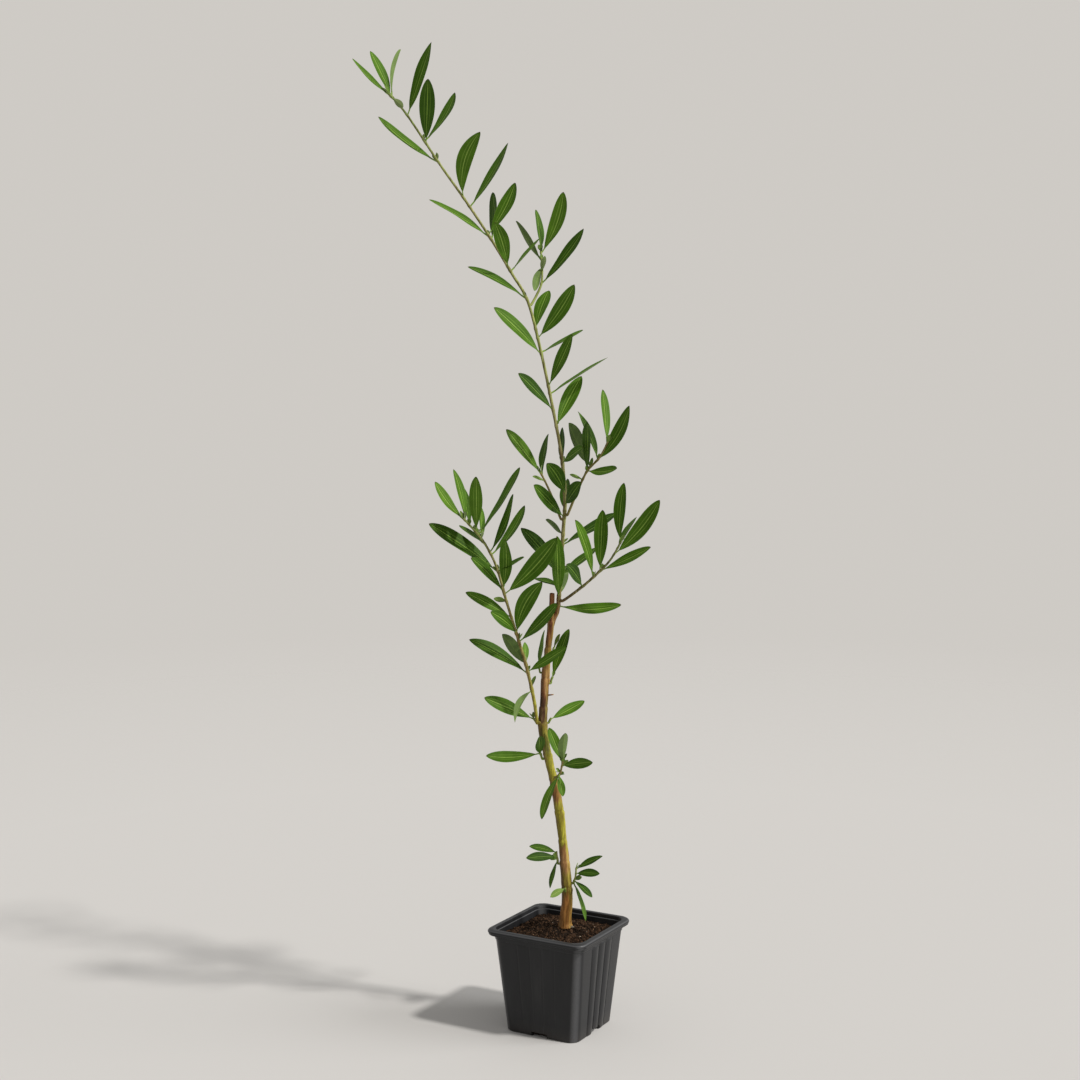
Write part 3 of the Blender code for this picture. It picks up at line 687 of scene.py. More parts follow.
def bark_group():
    """Where young bark is furrowed, rubbed or pitted, how far up it is, and whether it faces right, where
    light is painted, or left, where shade is painted.
    """
    group, wiring, given, result = node_group(
        "bark_growth", (("Foot", 0.0), ("Top", 1.0), ("Grain", 0.5), ("Blotch", 0.5)),
        ("Up", "Right", "Left", "Furrow", "Rubbed", "Pores"))
    grain = given["Grain"]
    blotch = given["Blotch"]
    climb = wiring.spread(wiring.axes("Object")["Z"], given["Foot"], given["Top"], 0.0, 1.0)
    wander = wiring.spread(blotch, 0.3, 0.7, -0.02, 0.02)
    faced = wiring.add("TexCoord", {}).outputs["Normal"]
    to_the_right = (cos(PLANT_TURN), sin(PLANT_TURN), 0)
    facing = wiring.vector_step("DOT_PRODUCT", faced, to_the_right)["Value"]
    patches = wiring.spread(blotch, 0.35, 0.6, 0.3, 1.0)
    # Painted light on the side that faces right, towards the lamps, and painted shade on the side that faces
    # left
    lit_side = wiring.spread(facing, 0.15, 0.75, 0.0, 1.0)
    shaded_side = wiring.spread(facing, -0.1, -0.8, 0.0, 1.0)
    wiring.set_inputs(result, {
        "Up": wiring.calculate("ADD", climb, wander),
        "Right": wiring.calculate("MULTIPLY", lit_side, patches),
        "Left": wiring.calculate("MULTIPLY", shaded_side, patches),
        "Furrow": wiring.spread(blotch, 0.36, 0.5, 0.75, 0.0),
        "Rubbed": wiring.spread(blotch, 0.56, 0.68, 0.0, 0.3),
        "Pores": wiring.spread(grain, 0.35, 0.62, 0.75, 0.0),
    })
    return group


BARK_GROWTH = bark_group()
FURROW_TINT = (0.42, 0.34, 0.26)
RUBBED_BARK = (0.66, 0.53, 0.26)
PORE_TINT = (0.38, 0.27, 0.18)


def bark(name, bands, lit_side, shaded_side):
    """Young bark: bands of colour up the stem, with light painted on the side facing right and shade on the
    side facing left.
    """
    skin = Surface(name, specular=0.3, grain_scale=1100.0, blotch_scale=420.0, stretch=0.1)
    low = bands[0][0]
    high = bands[-1][0]
    place = {"Foot": low * MM, "Top": high * MM, "Grain": skin.grain, "Blotch": skin.blotch}
    growth = skin.add_group(BARK_GROWTH, place)
    colour = skin.ramp(growth["Up"], tuple(((z - low) / (high - low), tone) for z, tone in bands))
    for side, (tint, strength) in (("Right", lit_side), ("Left", shaded_side)):
        colour = skin.laid_over(colour, tint, skin.spread(growth[side], 0.0, 1.0, 0.0, strength))
    colour = skin.laid_over(colour, FURROW_TINT, growth["Furrow"], "MULTIPLY")
    colour = skin.laid_over(colour, RUBBED_BARK, growth["Rubbed"])
    colour = skin.laid_over(colour, PORE_TINT, growth["Pores"], "MULTIPLY")
    roughness = skin.spread(skin.grain, 0.3, 0.7, 0.5, 0.75)
    return skin.finished(colour, roughness, bump_strength=0.4, bump_distance=0.0005)


def plant_piece(name, points, faces, materials):
    """A piece described as seen from the plant's front, turned into the pot's frame."""
    mesh = new_mesh(name, points, faces)
    mesh.transform(Matrix.Rotation(PLANT_TURN, 4, "Z"))
    return place_piece(name, mesh, materials)


def stem_piece(name, limbs, material):
    """A smooth piece of one or more limbs, each given by its rows, its sides and its relief."""
    points = []
    faces = []
    for rows, sides, relief in limbs:
        tube(points, faces, rows, sides, relief)
    piece = plant_piece(name, points, faces, [material])
    piece.data.shade_smooth()
    return piece


OCHRE = (0.80, 0.385, 0.105)
OLIVE = (0.34, 0.27, 0.040)
FRESH = (0.45, 0.43, 0.036)
MOSS = (0.21, 0.24, 0.035)
TAN = (0.50, 0.27, 0.100)
BROWN = (0.36, 0.175, 0.045)
RUSSET = (0.30, 0.115, 0.040)
UMBER = (0.115, 0.050, 0.021)
PALE_GREEN = (0.36, 0.43, 0.12)
TIP_GREEN = (0.27, 0.40, 0.10)
SHADED_SHOOT = (0.19, 0.085, 0.05)

trunk = Stem(TRUNK)
trunk_limbs = (
    (trunk.even(TRUNK_STEP), TRUNK_SIDES, trunk_relief),
    (Stem(DRY_SPUR).even(TRUNK_STEP), SPUR_SIDES, trunk_relief),
)
trunk_bands = ((80, OCHRE), (101, OCHRE), (108, OLIVE), (125, OLIVE), (131, TAN), (144, TAN), (149, FRESH),
               (183, FRESH), (189, BROWN), (199, BROWN), (205, FRESH), (226, FRESH), (233, MOSS),
               (247, OLIVE), (254, UMBER), (268, UMBER), (276, RUSSET), (290, TAN), (306, OLIVE),
               (322, RUSSET), (357, RUSSET))
# The trunk's right side is painted paler as lit, and its left side darker as shade
trunk_colours = bark("trunk_bark", trunk_bands, lit_side=(FRESH, 0.4), shaded_side=(UMBER, 0.9))
trunk_bark = stem_piece("trunk_bark", trunk_limbs, trunk_colours)
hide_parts("trunk")

# The boughs and the leader: this year's and last year's green shoots, each one tapering limb that
# grows out of the trunk or the leader with a small collar, and thickens a little at every leaf.
LEADER = (
    (-1.6, 1.2, 342, 3.6),
    (-0.2, 2, 356, 3.3),
    (1.2, 4, 380, 3.1),
    (3, 6, 405, 3),
    (4.5, 6, 430, 2.9),
    (3.2, 5, 452, 2.8),
    (0.2, 3, 475, 2.6),
    (-6, 0, 507, 2.5),
    (-14, -2, 545, 2.4),
    (-25, 0, 588, 2.3),
    (-38, 3, 611, 2.2),
    (-55, 6, 639, 2.1),
    (-75, 8, 669, 2),
    (-95, 6, 697, 1.9),
    (-120, 0, 734, 1.7),
    (-134, -4, 750, 1.5),
)
LEADER_ROOT = ((-7.6, 0.2, 322, 4.4), (-6.9, 0.3, 328, 4.6), (-4.6, 0.7, 335.5, 4.3))
LEFT_FOOT = (251, 214)
LEFT = (
    (-20, -8, 268, 2.8),
    (-24, -13, 288, 2.6),
    (-28, -18, 305, 2.5),
    (-33, -23, 322, 2.3),
    (-42, -32, 353, 2.1),
    (-50, -40, 382, 1.9),
    (-60, -46, 402, 1.7),
    (-75, -52, 420, 1.4),
)
RIGHT_FOOT = (350, -16)
RIGHT = (
    (7, -2, 353, 2.3),
    (17, -6, 361, 2.2),
    (28, -10, 371, 2),
    (40, -15, 384, 1.7),
    (49, -18, 400, 1.4),
)
GAP = 0.35
COLLAR = 1.4
COLLAR_FLARE = 1.45
COLLAR_DEPTH = 0.55
NODE_SWELL = 0.26
NODE_SPREAD = 1.3
SHOOT_LINES = 0.07
FULL_SWELL_RADIUS = 1.1
SHOOT_SIDES = 14
SHOOT_STEP = 0.7


def shoot_from(parent, height, towards, route):
    """A shoot that leaves its parent squarely, with a flared collar sunk into it, and bends up."""
    middle, along, radius = parent.at(height)
    angle = radians(towards)
    out = Vector((cos(angle), sin(angle), 0))
    out = (out - along * out.dot(along)).normalized()
    near = middle + out * (radius + GAP)
    far = near + out * COLLAR
    width = route[0][3]
    stem = Stem([(*far, width), *route])
    root = middle + out * radius * COLLAR_DEPTH
    stem.rows.insert(0, (*near, width * (1 + COLLAR_FLARE) / 2))
    stem.rows.insert(0, (*root, width * COLLAR_FLARE))
    return stem


def node_relief(feet):
    """Relief for a shoot: a slight swelling under each leaf, and faint lengthwise lines."""

    def relief(spot, out, radius):
        rise = SHOOT_LINES * noise.noise(with_the_grain(spot, across=0.9, along=0.12))
        for foot in feet:
            near = (spot.z - foot) / NODE_SPREAD
            if abs(near) < 3:
                rise += NODE_SWELL * exp(-near * near)
        return rise * min(1.0, radius / FULL_SWELL_RADIUS)

    return relief


leader = Stem(LEADER)
left_bough = shoot_from(trunk, *LEFT_FOOT, LEFT)
right_bough = shoot_from(leader, *RIGHT_FOOT, RIGHT)

# The leaves: leathery olive leaves on short stalks, set one or two at a place up each shoot. The
# upper side is dark to mid green with a pale midrib, and the underside pale grey green.
SEED = 41
LEAF_WIDTH = 0.2
LEAF_LEAST_WIDTH = 2.2
LEAF_THICKNESS = 0.42
PETIOLE_WIDTH = 1.0
PETIOLE_SHARE = 0.09
LEAF_ARCH = 0.02
LEAF_FOLD = 0.2
FOLD_ROUNDING = 1.25
LEAF_TWIST = 0.35
TWIST_CENTRE = 0.4
LEAF_WAVE = (0.15, 0.55)
WAVES = 11
WAVE_LENGTH = 50
LEAF_STEPS = 20
LEAST_STEPS = 8
ALL_STEPS_LENGTH = 40
LEAST_HALF_WIDTH = 0.12
STALK_BLEND = 12
STALK_PLUMPNESS = 1.1
TIP_THINNING = 0.45
BLADE_FOOT = 0.95
BLADE_TIP = 0.72
WIDEST = BLADE_FOOT / (BLADE_FOOT + BLADE_TIP)
TOP_COLUMNS = (-1.0, -0.93, -0.62, -0.42, -0.33, -0.05, 0.05, 0.33, 0.42, 0.62, 0.93, 1.0)
UNDER_COLUMNS = (0.62, 0.30, 0.07, -0.07, -0.30, -0.62)
MIDRIB_HALF = 0.1
MIDRIB_GROOVE = 0.25
MIDRIB_RIDGE = 0.55
TOP, MIDRIB, MARGIN, UNDERSIDE, UNDER_RIB, STALK, POINT, PAINTED_SHEEN = range(8)
# Two narrow strips on each half of the blade take a lighter colour: a painted sheen along its length
TOP_KINDS = (MARGIN, TOP, TOP, PAINTED_SHEEN, TOP, MIDRIB, TOP, PAINTED_SHEEN, TOP, TOP, MARGIN)
PLAIN_END = 0.93
TIP_RING = 0.982
BUD_LENGTH = (3.0, 6.5)
BUD_OPENING = (6, 24)
BUD_TURN = (0, 160)
BUD_WIDTH = 0.8
DEEP, DARK, MIDDLE, LIGHT, YOUNG = range(5)

# Leaves: the height of the foot, lean from upright (plus is right), reach towards the viewer,
# length, turn of the upper face away from the viewer, and bow in hundredths (plus is upwards)
LEADER_LEAVES = (
    (346, 89, 5, 51, 55, -6),
    (351, -2, 20, 56, 32, -1),
    (354, 20, -62, 46, 150, 2),
    (361, -78, -45, 31, 65, 3),
    (369, -40, -26, 55, 42, 3),
    (370, 56, -35, 47, 62, -2),
    (395, 62, -30, 58, 66, -2),
    (403, -54, -55, 30, 130, 2),
    (417, -42, 40, 48, 38, 0),
    (422, 6, -52, 40, 40, 2),
    (427, 31, 58, 44, 35, 0),
    (436, -30, 50, 46, 5, 4),
    (459, 0, -45, 42, 62, 1),
    (461, 50, 58, 39, 48, 0),
    (490, 27, -25, 50, 10, 2),
    (503, -44, 30, 46, 50, 1),
    (516, 58, -15, 57, 82, -1),
    (522, 25, 25, 49, 40, -1),
    (547, -46, 15, 54, 46, 1),
    (549, 61, -40, 51, 78, -2),
    (560, 35, 15, 52, 8, -4),
    (567, 18, -42, 46, 30, 2),
    (591, -62, 5, 53, 64, 3),
    (613, 40, -30, 42, 78, 0),
    (616, -17, 45, 47, 15, 3),
    (638, 0, -40, 54, 62, -2),
    (640, -59, 5, 56, 64, 2),
    (642, 26, -24, 53, 36, -5),
    (664, 30, -15, 63, 58, -4),
    (671, 16, 20, 54, 5, 12),
    (699, -53, -5, 60, 62, -3),
    (713, 4, 25, 51, 5, 0),
    (715, 29, -26, 53, 55, -8),
    (734, 20, 10, 59, 42, -1),
    (747, 134, 30, 14, 170, 0),
    (748, 7, -35, 52, 98, 5),
    (748, -25, -16, 43, 52, 0),
    (749, -47, 10, 40, 62, -4),
)
LEADER_CUTS = (0, 410, 510, 580, 652, 1000)
LEFT_LEAVES = (
    (279, -150, 30, 31, 130, 12),
    (281, 20, -30, 11, 60, 0),
    (293, -59, 5, 55, 55, 3),
    (295, 55, 22, 41, 50, -3),
    (300, -43, -45, 41, 170, 2),
    (302, -2, -30, 18, 30, 0),
    (320, 43, 24, 49, 52, -2),
    (326, 25, 20, 51, 10, 9),
    (327, -44, 45, 40, 46, 3),
    (340, -60, 10, 42, 45, 0),
    (353, -79, -30, 12, 40, 0),
    (359, 42, 16, 64, 12, -4),
    (361, -41, 30, 44, 58, 3),
    (363, 3, 32, 49, 26, -3),
    (365, 10, -58, 44, 140, 0),
    (377, -55, 0, 66, 52, 3),
    (378, 60, 34, 29, 72, 0),
    (391, 35, -30, 52, 60, -8),
    (393, 22, 20, 53, 60, -5),
    (400, -59, -45, 34, 74, 0),
    (403, -3, -45, 34, 62, 0),
    (407, 32, -15, 63, 74, -5),
    (409, 1, 15, 45, 28, 0),
    (414, -12, -42, 39, 56, 0),
    (418, -14, -20, 43, 60, 3),
    (418.5, -37, 10, 38, 56, -6),
)
RIGHT_LEAVES = (
    (362, -32, 55, 44, 46, 3),
    (370, -18, 25, 55, 56, 3),
    (375, 3, -15, 50, 26, 0),
    (376, 63, 20, 46, 54, -2),
    (389, 39, 10, 57, 25, -5),
    (394, 36, -45, 40, 72, 0),
    (398, 4, -15, 49, 42, 3),
)

# Side shoots: height and side of the foot (0 is right, 90 is away), route, leaves
SHOOTS = (
    ("upper_right_foliage", leader, (419, -40),
     ((10.5, 1, 429, 2.1), (15, -3, 440, 1.9), (22, -9, 455, 1.7),
      (31, -14, 465, 1.5), (38, -15.5, 478, 1.2)),
     ((448, -70, 20, 12, 60, 0), (454, 0, 35, 49, 60, 0), (455, 83, 50, 35, 52, -4),
      (458, -26, -45, 54, 140, 0), (463, 30, 10, 51, 40, -9), (464, -22, -35, 50, 58, 2),
      (477, -4, -25, 47, 54, 0))),
    ("short_left_foliage", leader, (415, 145),
     ((-3, 10, 426, 2), (-9, 15, 440, 1.7), (-15, 19, 452, 1.3)),
     ((446, -70, 30, 12, 60, 0), (450, 9, -40, 44, 56, 2), (451, -38, 10, 47, 47, 2))),
    ("side_shoot_foliage", leader, (586, 50),
     ((-18.5, 7, 594, 2), (-14.5, 12, 604, 1.8), (-14, 19, 617, 1.6),
      (-15, 26, 631, 1.3)),
     ((604, 38, 0, 55, 54, -3), (614, 10, 40, 15, 140, 0), (618, -163, 40, 28, 140, 0),
      (623, -32, -30, 46, 118, -1), (629, 20, -10, 54, 36, -6), (630, -6, -40, 49, 61, 0))),
    ("low_foliage", trunk, (206, -55),
     ((0.4, -6.4, 210, 1.8), (1.6, -8, 215, 1.6), (3, -9, 222, 1.3)),
     ((209, 169, 42, 20, 20, 0), (211, -156, 25, 41, 60, 3), (217, 74, 38, 32, 15, 2),
      (220, -22, -6, 30, 28, 0), (221, 2, 42, 37, 140, 0))),
    ("fork_left_leaf", trunk, (250, 158),
     ((-19.4, 2.6, 251.5, 1.7), (-21, 3, 254, 1.5)),
     ((253, -64, 14, 46, 42, 1),)),
    ("fork_right_leaf", trunk, (250, 28),
     ((-8, 2.4, 251.5, 1.7), (-6.6, 3, 254, 1.5)),
     ((253, 68, -35, 37, 44, -2),)),
    ("middle_left_leaves", trunk, (222, 188),
     ((-14.8, -1, 224, 1.8), (-16, -1.4, 227, 1.5)),
     ((225, -3, 52, 32, 32, 0), (226, -92, 5, 44, 52, -5))),
    ("high_right_leaf", trunk, (283, 14),
     ((-6.6, 1.2, 285, 1.7), (-5.4, 1.6, 288, 1.5)),
     ((287, 20, -20, 43, 35, 0),)),
    ("high_bud", trunk, (309, 10),
     ((-5.2, 0.6, 310, 1.3), (-4.4, 0.8, 312, 1.1)),
     ((311.5, 24, 10, 13, 64, 0),)),
    ("high_left_leaf", trunk, (291, 160),
     ((-16, 1.8, 293, 1.5), (-16.6, 2.2, 296, 1.2)),
     ((295, 9, -35, 35, 66, 0),)),
    ("foot_left_leaves", trunk, (134, 182),
     ((-1.2, 3, 136, 1.6), (-1.8, 2.8, 140, 1.4), (-2.2, 2.6, 144, 1.2)),
     ((137, -164, 20, 24, 66, 2), (139, -86, 20, 27, 42, 2), (143, -77, 0, 23, 46, 3))),
    ("foot_right_leaves", trunk, (117, -12),
     ((12, 2, 119, 1.5), (13.4, 1, 124, 1.4), (13.8, 0.4, 131, 1.2)),
     ((118.6, 162, 20, 33, 70, 0), (120, 128, 30, 21, 58, 3), (126, 86, 15, 20, 32, 3),
      (130, 64, 0, 24, 58, 3))),
    ("foot_front_leaf", trunk, (112, 252),
     ((4.9, -2.2, 113, 1.5), (4.6, -3, 115, 1.3)),
     ((114.5, -112, 30, 15, 20, 4),)),
)


def blade_axes(lean, reach, turn):
    """The directions along a leaf, across it, out of its upper face, and up as seen from the front."""
    lean = radians(lean)
    reach = radians(reach)
    turn = radians(turn)
    out = Vector((sin(lean) * cos(reach), -sin(reach), cos(lean) * cos(reach)))
    facing = Vector((0, -1, 0))
    facing = (facing - out * facing.dot(out)).normalized()
    up = out.cross(facing) if lean < 0 else facing.cross(out)
    normal = facing * cos(turn) + up * sin(turn)
    return out, out.cross(normal), normal, up


def blade_half_width(share, length):
    """Half the leaf's width: a thin stalk, then a lance shape that is widest past its middle."""
    if share <= PETIOLE_SHARE:
        return PETIOLE_WIDTH / 2
    up = (share - PETIOLE_SHARE) / (1 - PETIOLE_SHARE)
    blade = (up / WIDEST) ** BLADE_FOOT * ((1 - up) / (1 - WIDEST)) ** BLADE_TIP
    return PETIOLE_WIDTH / 2 * (1 - up) + (LEAF_LEAST_WIDTH + length * LEAF_WIDTH) / 2 * blade


def blade_shares(length):
    """How far along the leaf its rings of points stand, from the stalk to the tip."""
    steps = max(LEAST_STEPS, int(LEAF_STEPS * min(1.0, length / ALL_STEPS_LENGTH)))
    shares = [PETIOLE_SHARE * 0.5 * step for step in range(3)]
    shares += [PETIOLE_SHARE + (1 - PETIOLE_SHARE) * step / steps for step in range(1, steps)]
    return [*shares, TIP_RING]


class Foliage:
    """One mass of leaves: its points, its faces, and the age of the leaf and the part at each face."""

    def __init__(self, seed):
        self.chance = random.Random(seed)
        self.points = []
        self.faces = []
        self.kinds = []

    def add_leaf(self, foot, row, widen, arch, tone):
        """One leaf: a folded upper face with a sunk midrib, and an underside with a raised one."""
        _, lean, reach, length, turn, bow = row
        out, across, normal, up = blade_axes(lean, reach, turn)
        bend = (up * bow / 100 + normal * arch) * length * 4
        twist = self.chance.uniform(-LEAF_TWIST, LEAF_TWIST)
        wave = self.chance.uniform(*LEAF_WAVE) * length / WAVE_LENGTH
        phase = self.chance.uniform(0, tau)
        first = len(self.points)
        shares = blade_shares(length)
        for share in shares:
            half = max(blade_half_width(share, length) * widen, LEAST_HALF_WIDTH)
            middle = foot + out * length * share + bend * share * (1 - share)
            angle = twist * (share - TWIST_CENTRE)
            wide = across * cos(angle) + normal * sin(angle)
            thick_way = normal * cos(angle) - across * sin(angle)
            blade = max(0.0, (share - PETIOLE_SHARE) / (1 - PETIOLE_SHARE))
            stalk = 1 - min(1.0, blade * STALK_BLEND)
            thick = LEAF_THICKNESS * (1 - TIP_THINNING * share) * (1 + STALK_PLUMPNESS * stalk)
            for column, place in enumerate((*TOP_COLUMNS, *UNDER_COLUMNS)):
                level = half * LEAF_FOLD * abs(place) ** FOLD_ROUNDING * (1 - stalk)
                level += wave / 2 * sin(share * WAVES + phase + place) * place ** 2 * (1 - stalk)
                rounded = thick / 2 * (1 - place ** 2)
                on_rib = abs(place) < MIDRIB_HALF
                if column < len(TOP_COLUMNS):
                    level += rounded - on_rib * MIDRIB_GROOVE * thick * (1 - stalk)
                else:
                    level -= rounded + on_rib * MIDRIB_RIDGE * thick * (1 - share)
                self.points.append((middle + wide * half * place + thick_way * level) * MM)
        self.points.append((foot + out * length) * MM)
        self.add_blade_faces(first, shares, tone)

    def add_blade_faces(self, first, shares, tone):
        """The faces between the rings of one leaf, and those that close its two ends."""
        columns = len(TOP_COLUMNS)
        count = columns + len(UNDER_COLUMNS)
        under_middle = columns - 1 + len(UNDER_COLUMNS) // 2
        for ring, share in enumerate(shares):
            low = first + ring * count
            for index in range(count):
                after = (index + 1) % count
                if share < PETIOLE_SHARE * 0.99:
                    kind = STALK
                elif share == TIP_RING:
                    kind = POINT
                elif index >= columns - 1:
                    kind = UNDER_RIB if index == under_middle else UNDERSIDE
                else:
                    kind = TOP if share > PLAIN_END else TOP_KINDS[index]
                ahead = (low + count,) if share == TIP_RING else (low + count + index, low + count + after)
                self.faces.append((low + after, low + index, *ahead))
                self.kinds.append((tone, kind))
        self.faces.append(tuple(range(first, first + count)))
        self.kinds.append((tone, STALK))

    def add_bud(self, foot, lean, reach, length):
        """Two small folded leaves, face to face."""
        for side in (-1, 1):
            apart = side * self.chance.uniform(*BUD_OPENING)
            bud = (0.0, lean + apart, reach, length, self.chance.uniform(*BUD_TURN), 0)
            self.add_leaf(foot, bud, BUD_WIDTH, 0.0, YOUNG)


def leaf_surface(name, colour, roughness, mottle):
    """A leathery leaf surface: a plain colour with a fine mottle, slightly waxy."""
    blade = Surface(name, specular=0.14, grain_scale=1700.0, blotch_scale=130.0)
    colour = blade.mottled(blade.blotch, colour, (0.30, 0.52, 0.74), mottle, mottle)
    roughness = blade.spread(blade.grain, 0.3, 0.7, roughness - 0.06, roughness + 0.08)
    return blade.finished(colour, roughness, bump_strength=0.12, bump_distance=0.0003)


def mixed(one, other, share):
    """A colour some way from one to another."""
    return tuple(a + (b - a) * share for a, b in zip(one, other))


# For each age of leaf, from the oldest: the upper side, its midrib, and the underside
TONES = (
    ("deep", (0.024, 0.066, 0.002), (0.16, 0.28, 0.038), (0.085, 0.130, 0.030)),
    ("dark", (0.042, 0.106, 0.004), (0.22, 0.36, 0.050), (0.105, 0.165, 0.040)),
    ("middle", (0.064, 0.152, 0.006), (0.28, 0.43, 0.075), (0.130, 0.200, 0.055)),
    ("light", (0.086, 0.188, 0.010), (0.32, 0.48, 0.090), (0.155, 0.235, 0.065)),
    ("young", (0.150, 0.245, 0.045), (0.35, 0.46, 0.115), (0.225, 0.300, 0.110)),
)
DRY_POINT = (0.075, 0.050, 0.014)
leaf_materials = []
leaf_kinds = {}
for tone, (word, top, rib, under) in enumerate(TONES):
    surfaces = (
        (TOP, "top", top, 0.58, 0.16),
        (MIDRIB, "midrib", rib, 0.55, 0.08),
        (MARGIN, "margin", mixed(top, rib, 0.2), 0.55, 0.08),
        (UNDERSIDE, "underside", under, 0.62, 0.16),
        (UNDER_RIB, "under_rib", mixed(under, rib, 0.3), 0.6, 0.08),
        (STALK, "stalk", mixed(top, rib, 0.65), 0.5, 0.08),
        (POINT, "point", DRY_POINT, 0.55, 0.08),
        # A lighter colour painted as a sheen in strips along the blade
        (PAINTED_SHEEN, "painted_sheen", mixed(top, rib, 0.35), 0.58, 0.08),
    )
    for kind, part, colour, roughness, mottle in surfaces:
        leaf_kinds[(tone, kind)] = len(leaf_materials)
        leaf_materials.append(leaf_surface(f"leaf_{word}_{part}", colour, roughness, mottle))


SMALL_LEAF = 16.0
TURNED_OVER = 105.0
TIP_LENGTH = 14.0
TIP_FRESHNESS = 0.35
WELL_BEHIND = 38
# Leaves reaching well forward or back are pushed towards the darker tones as painted shade
PAINTED_SHADE_SHIFT = 0.2
YOUNGER_THAN_DEEP = -0.2
YOUNGER_THAN_DARK = 0.15
YOUNGER_THAN_MIDDLE = 0.75


def tone_of(row, stem, age, chance):
    """The tone of one leaf: those low down are old, those deep in the crown get a darker tone as painted
    shade, and small ones at a tip are young.
    """
    height, _, reach, length, turn, _ = row
    if length < SMALL_LEAF:
        return YOUNG
    if turn > TURNED_OVER:
        return MIDDLE
    at_tip = stem.rows[-1][2] - height < TIP_LENGTH
    pick = chance.random() - age + TIP_FRESHNESS * at_tip - PAINTED_SHADE_SHIFT * (abs(reach) > WELL_BEHIND)
    if pick < YOUNGER_THAN_DEEP:
        return DEEP
    if pick < YOUNGER_THAN_DARK:
        return DARK
    return MIDDLE if pick < YOUNGER_THAN_MIDDLE else LIGHT


FINISH_SEED = 900
WIDTH_SPREAD = (0.94, 1.06)
BUD_CHANCE = 0.5
BUD_RISE = 0.8
BUD_LEAN = 0.45
BUD_REACH = 0.4
END_BUD_SEAT = 0.4
END_BUD_GAP = 14.0
FEW_LEAVES = 4


def grow_leaves(name, stem, rows, seed, age=0.0):
    """One mass of leaves, with a small bud in some of the leaf axils."""
    chance = random.Random(SEED + seed)
    mass = Foliage(FINISH_SEED + seed)
    finish = mass.chance
    for row in rows:
        foot, along, radius = stem.at(row[0])
        widen = chance.uniform(*WIDTH_SPREAD)
        arch = chance.uniform(-LEAF_ARCH, LEAF_ARCH)
        mass.add_leaf(foot, row, widen, arch, tone_of(row, stem, age, finish))
        if row[3] > SMALL_LEAF and finish.random() < BUD_CHANCE:
            length = finish.uniform(*BUD_LENGTH) + radius
            mass.add_bud(foot + along * BUD_RISE, row[1] * BUD_LEAN, row[2] * BUD_REACH, length)
    *end, end_width = stem.rows[-1]
    along = (Vector(end) - Vector(stem.rows[-2][:3])).normalized()
    if len(rows) > FEW_LEAVES and rows[-1][0] > end[2] - END_BUD_GAP:
        lean = degrees(atan2(along.x, along.z))
        reach = degrees(asin(-along.y))
        length = finish.uniform(*BUD_LENGTH) + end_width
        mass.add_bud(Vector(end) - along * END_BUD_SEAT, lean, reach, length)
    used = sorted(set(mass.kinds))
    colours = [leaf_materials[leaf_kinds[kind]] for kind in used]
    piece = plant_piece(name + "_leaves", mass.points, mass.faces, colours)
    order = {kind: number for number, kind in enumerate(used)}
    piece.data.polygons.foreach_set("material_index", [order[kind] for kind in mass.kinds])
    shade(piece.data, angle=50)
    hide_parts(name)


LEADER_AGES = (("leader_lower", 0.5), ("leader_middle", 0.25), ("leader_upper", 0.1),
               ("leader_high", 0.0), ("leader_tip", 0.0))
for seed, (name, age) in enumerate(LEADER_AGES):
    low, high = LEADER_CUTS[seed:seed + 2]
    grow_leaves(name, leader, [row for row in LEADER_LEAVES if low < row[0] < high], seed, age)
grow_leaves("left_foliage", left_bough, LEFT_LEAVES, 5, 0.15)
grow_leaves("right_foliage", right_bough, RIGHT_LEAVES, 6, 0.05)
SIDE_AGE = 0.15
FOOT_AGE = 1.4
side_stems = []
for seed, (name, parent, foot, route, rows) in enumerate(SHOOTS, start=7):
    side_stem = shoot_from(parent, *foot, route)
    side_stems.append((name, side_stem, rows))
    grow_leaves(name, side_stem, rows, seed, FOOT_AGE if name.startswith("foot") else SIDE_AGE)

# The green limbs themselves: the leader and both boughs are pieces of their own, and the thin side
# shoots are joined in three pieces by their colour. All of them carry the swellings where their leaves
# stand.
leader = Stem([*LEADER_ROOT, *LEADER])
limbs = (
    ("leader_stem", leader, LEADER_LEAVES, (),
     ((334, RUSSET), (352, (0.27, 0.21, 0.07)), (392, (0.33, 0.33, 0.11)), (470, (0.33, 0.30, 0.12)),
      (560, PALE_GREEN), (660, (0.38, 0.40, 0.13)), (752, TIP_GREEN))),
    ("left_bough_stem", left_bough, LEFT_LEAVES, ("left_bough",),
     ((244, OLIVE), (262, FRESH), (300, (0.33, 0.26, 0.07)), (352, (0.30, 0.27, 0.08)),
      (390, (0.33, 0.34, 0.11)), (422, TIP_GREEN))),
    ("right_bough_stem", right_bough, RIGHT_LEAVES, ("right_bough",),
     ((344, (0.22, 0.13, 0.05)), (362, (0.20, 0.20, 0.06)), (380, (0.26, 0.30, 0.09)), (402, TIP_GREEN))),
)


def shoot_limb(stem, rows):
    """A shoot as a limb that swells a little where its leaves stand."""
    return stem.even(SHOOT_STEP), SHOOT_SIDES, node_relief([row[0] for row in rows])


for name, stem, rows, nodes_replaced, bands in limbs:
    # Each limb's right side is painted paler as lit, and its left side darker as shade
    limb_colours = bark(name, bands, lit_side=(PALE_GREEN, 0.35), shaded_side=(SHADED_SHOOT, 0.55))
    limb = stem_piece(name, [shoot_limb(stem, rows)], limb_colours)
    if nodes_replaced:
        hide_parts(*nodes_replaced)

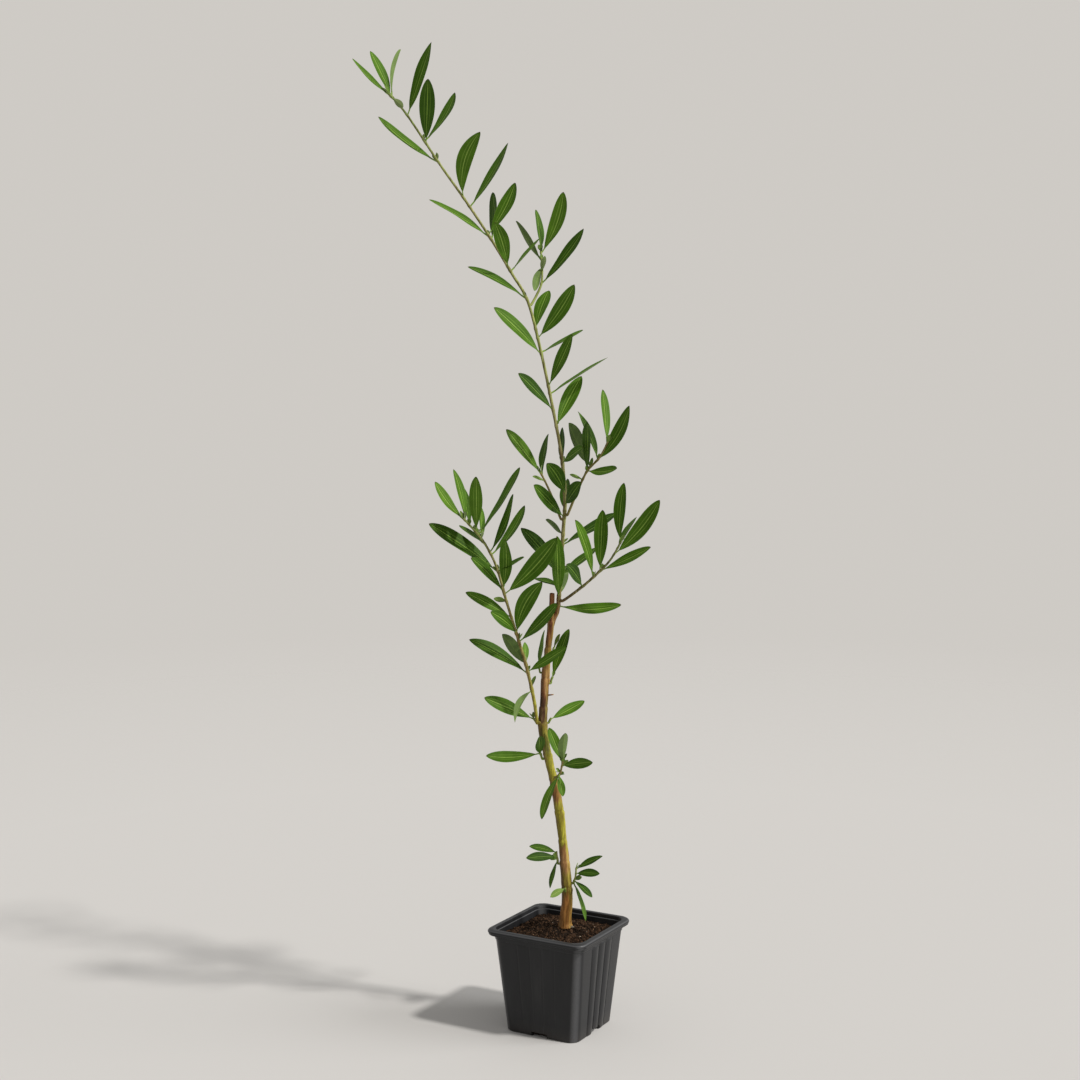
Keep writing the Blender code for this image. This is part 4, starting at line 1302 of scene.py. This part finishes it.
SHOOT_TINTS = (
    ("leaf_stalks", (0.20, 0.27, 0.055),
     ("fork_left_leaf", "fork_right_leaf", "middle_left_leaves", "high_right_leaf", "high_bud",
      "high_left_leaf", "foot_front_leaf")),
    ("green_shoots", (0.26, 0.30, 0.080), ("side_shoot_foliage", "foot_left_leaves", "foot_right_leaves")),
    ("brown_shoots", (0.23, 0.19, 0.065), ("upper_right_foliage", "short_left_foliage", "low_foliage")),
)
for tint_name, tint, masses in SHOOT_TINTS:
    side_limbs = [shoot_limb(stem, rows) for name, stem, rows in side_stems if name in masses]
    stem_piece(tint_name, side_limbs, leaf_surface(tint_name, tint, roughness=0.55, mottle=0.25))

# The camera stands where the photograph was taken from. Light from the right and front, as from a
# window, throws a long shadow to the left over a plain pale floor, and softer light fills it.
CAMERA_PLACE = (0.6556, -1.1829, 0.506)
CAMERA_TURN = radians(29.66)
CAMERA_DOWN = radians(4.55)
CAMERA_LENS = 56.35
CAMERA_SHIFT = 0.0007
FLOOR_COLOUR = (0.64, 0.625, 0.605)
FLOOR_FADE = 0.9
FLOOR_REACH = 2.4
FLOOR_SIDES = 64
WALL_COLOUR = (0.62, 0.595, 0.56)
FILL_COLOUR = (1.0, 0.985, 0.965)
FILL = 0.37

camera_data = bpy.data.cameras.new("camera")
camera_data.lens = CAMERA_LENS
camera_data.sensor_width = 36.0
camera_data.clip_start = 0.01
camera_data.shift_y = CAMERA_SHIFT
camera = new_object("camera", camera_data)
camera.location = CAMERA_PLACE
camera.rotation_euler = (pi / 2 - CAMERA_DOWN, 0, CAMERA_TURN)
bpy.context.scene.camera = camera


def lamp(name, height, forward, strength, width, colour):
    """A far and even light from the camera's right: how high, how far forward and how wide, in degrees."""
    made = bpy.data.lights.new(name, "SUN")
    made.energy = strength
    made.angle = radians(width)
    made.color = colour
    up = radians(height)
    aside = radians(forward)
    way = Vector((cos(up) * cos(aside), -cos(up) * sin(aside), sin(up)))
    way.rotate(Matrix.Rotation(CAMERA_TURN, 3, "Z"))
    new_object(name, made).rotation_euler = way.to_track_quat("Z", "Y").to_euler()


lamp("window_light", height=49, forward=29, strength=2.0, width=5, colour=(1.0, 0.975, 0.94))
lamp("soft_light", height=22, forward=8, strength=1.55, width=36, colour=(1.0, 1.0, 1.0))

floor_angles = [tau * step / FLOOR_SIDES for step in range(FLOOR_SIDES)]
floor_ring = [(FLOOR_REACH * cos(angle), FLOOR_REACH * sin(angle), 0) for angle in floor_angles]
floor_mesh = new_mesh("floor", floor_ring, [tuple(range(FLOOR_SIDES))])
floor_material = bpy.data.materials.new("floor")
floor_material.use_nodes = True
floor_wiring = Wiring(floor_material.node_tree)
floor_place = floor_wiring.add("TexCoord", {})
away = floor_wiring.vector_step("LENGTH", floor_place.outputs["Object"])["Value"]
floor_wiring.set_inputs(floor_wiring.nodes["Principled BSDF"], {
    "Base Color": (*FLOOR_COLOUR, 1.0),
    "Roughness": 0.9,
    "Alpha": floor_wiring.spread(away, FLOOR_FADE, FLOOR_REACH, 1.0, 0.0),
})
floor_mesh.materials.append(floor_material)
floor = new_object("floor", floor_mesh)

world = bpy.data.worlds.new("studio")
bpy.context.scene.world = world
world.use_nodes = True
world_wiring = Wiring(world.node_tree)
backdrop = world_wiring.nodes["Background"]
world_wiring.set_inputs(backdrop, {"Color": (*FILL_COLOUR, 1.0), "Strength": FILL})
seen = world_wiring.add("Background", {"Color": (*WALL_COLOUR, 1.0)})
ray = world_wiring.add("LightPath", {})
either = world_wiring.add("MixShader", {
    "Fac": ray.outputs["Is Camera Ray"], 1: backdrop.outputs["Background"], 2: seen.outputs["Background"]})
world_wiring.set_inputs(world_wiring.nodes["World Output"], {"Surface": either.outputs["Shader"]})
bpy.context.scene.view_settings.view_transform = "Standard"
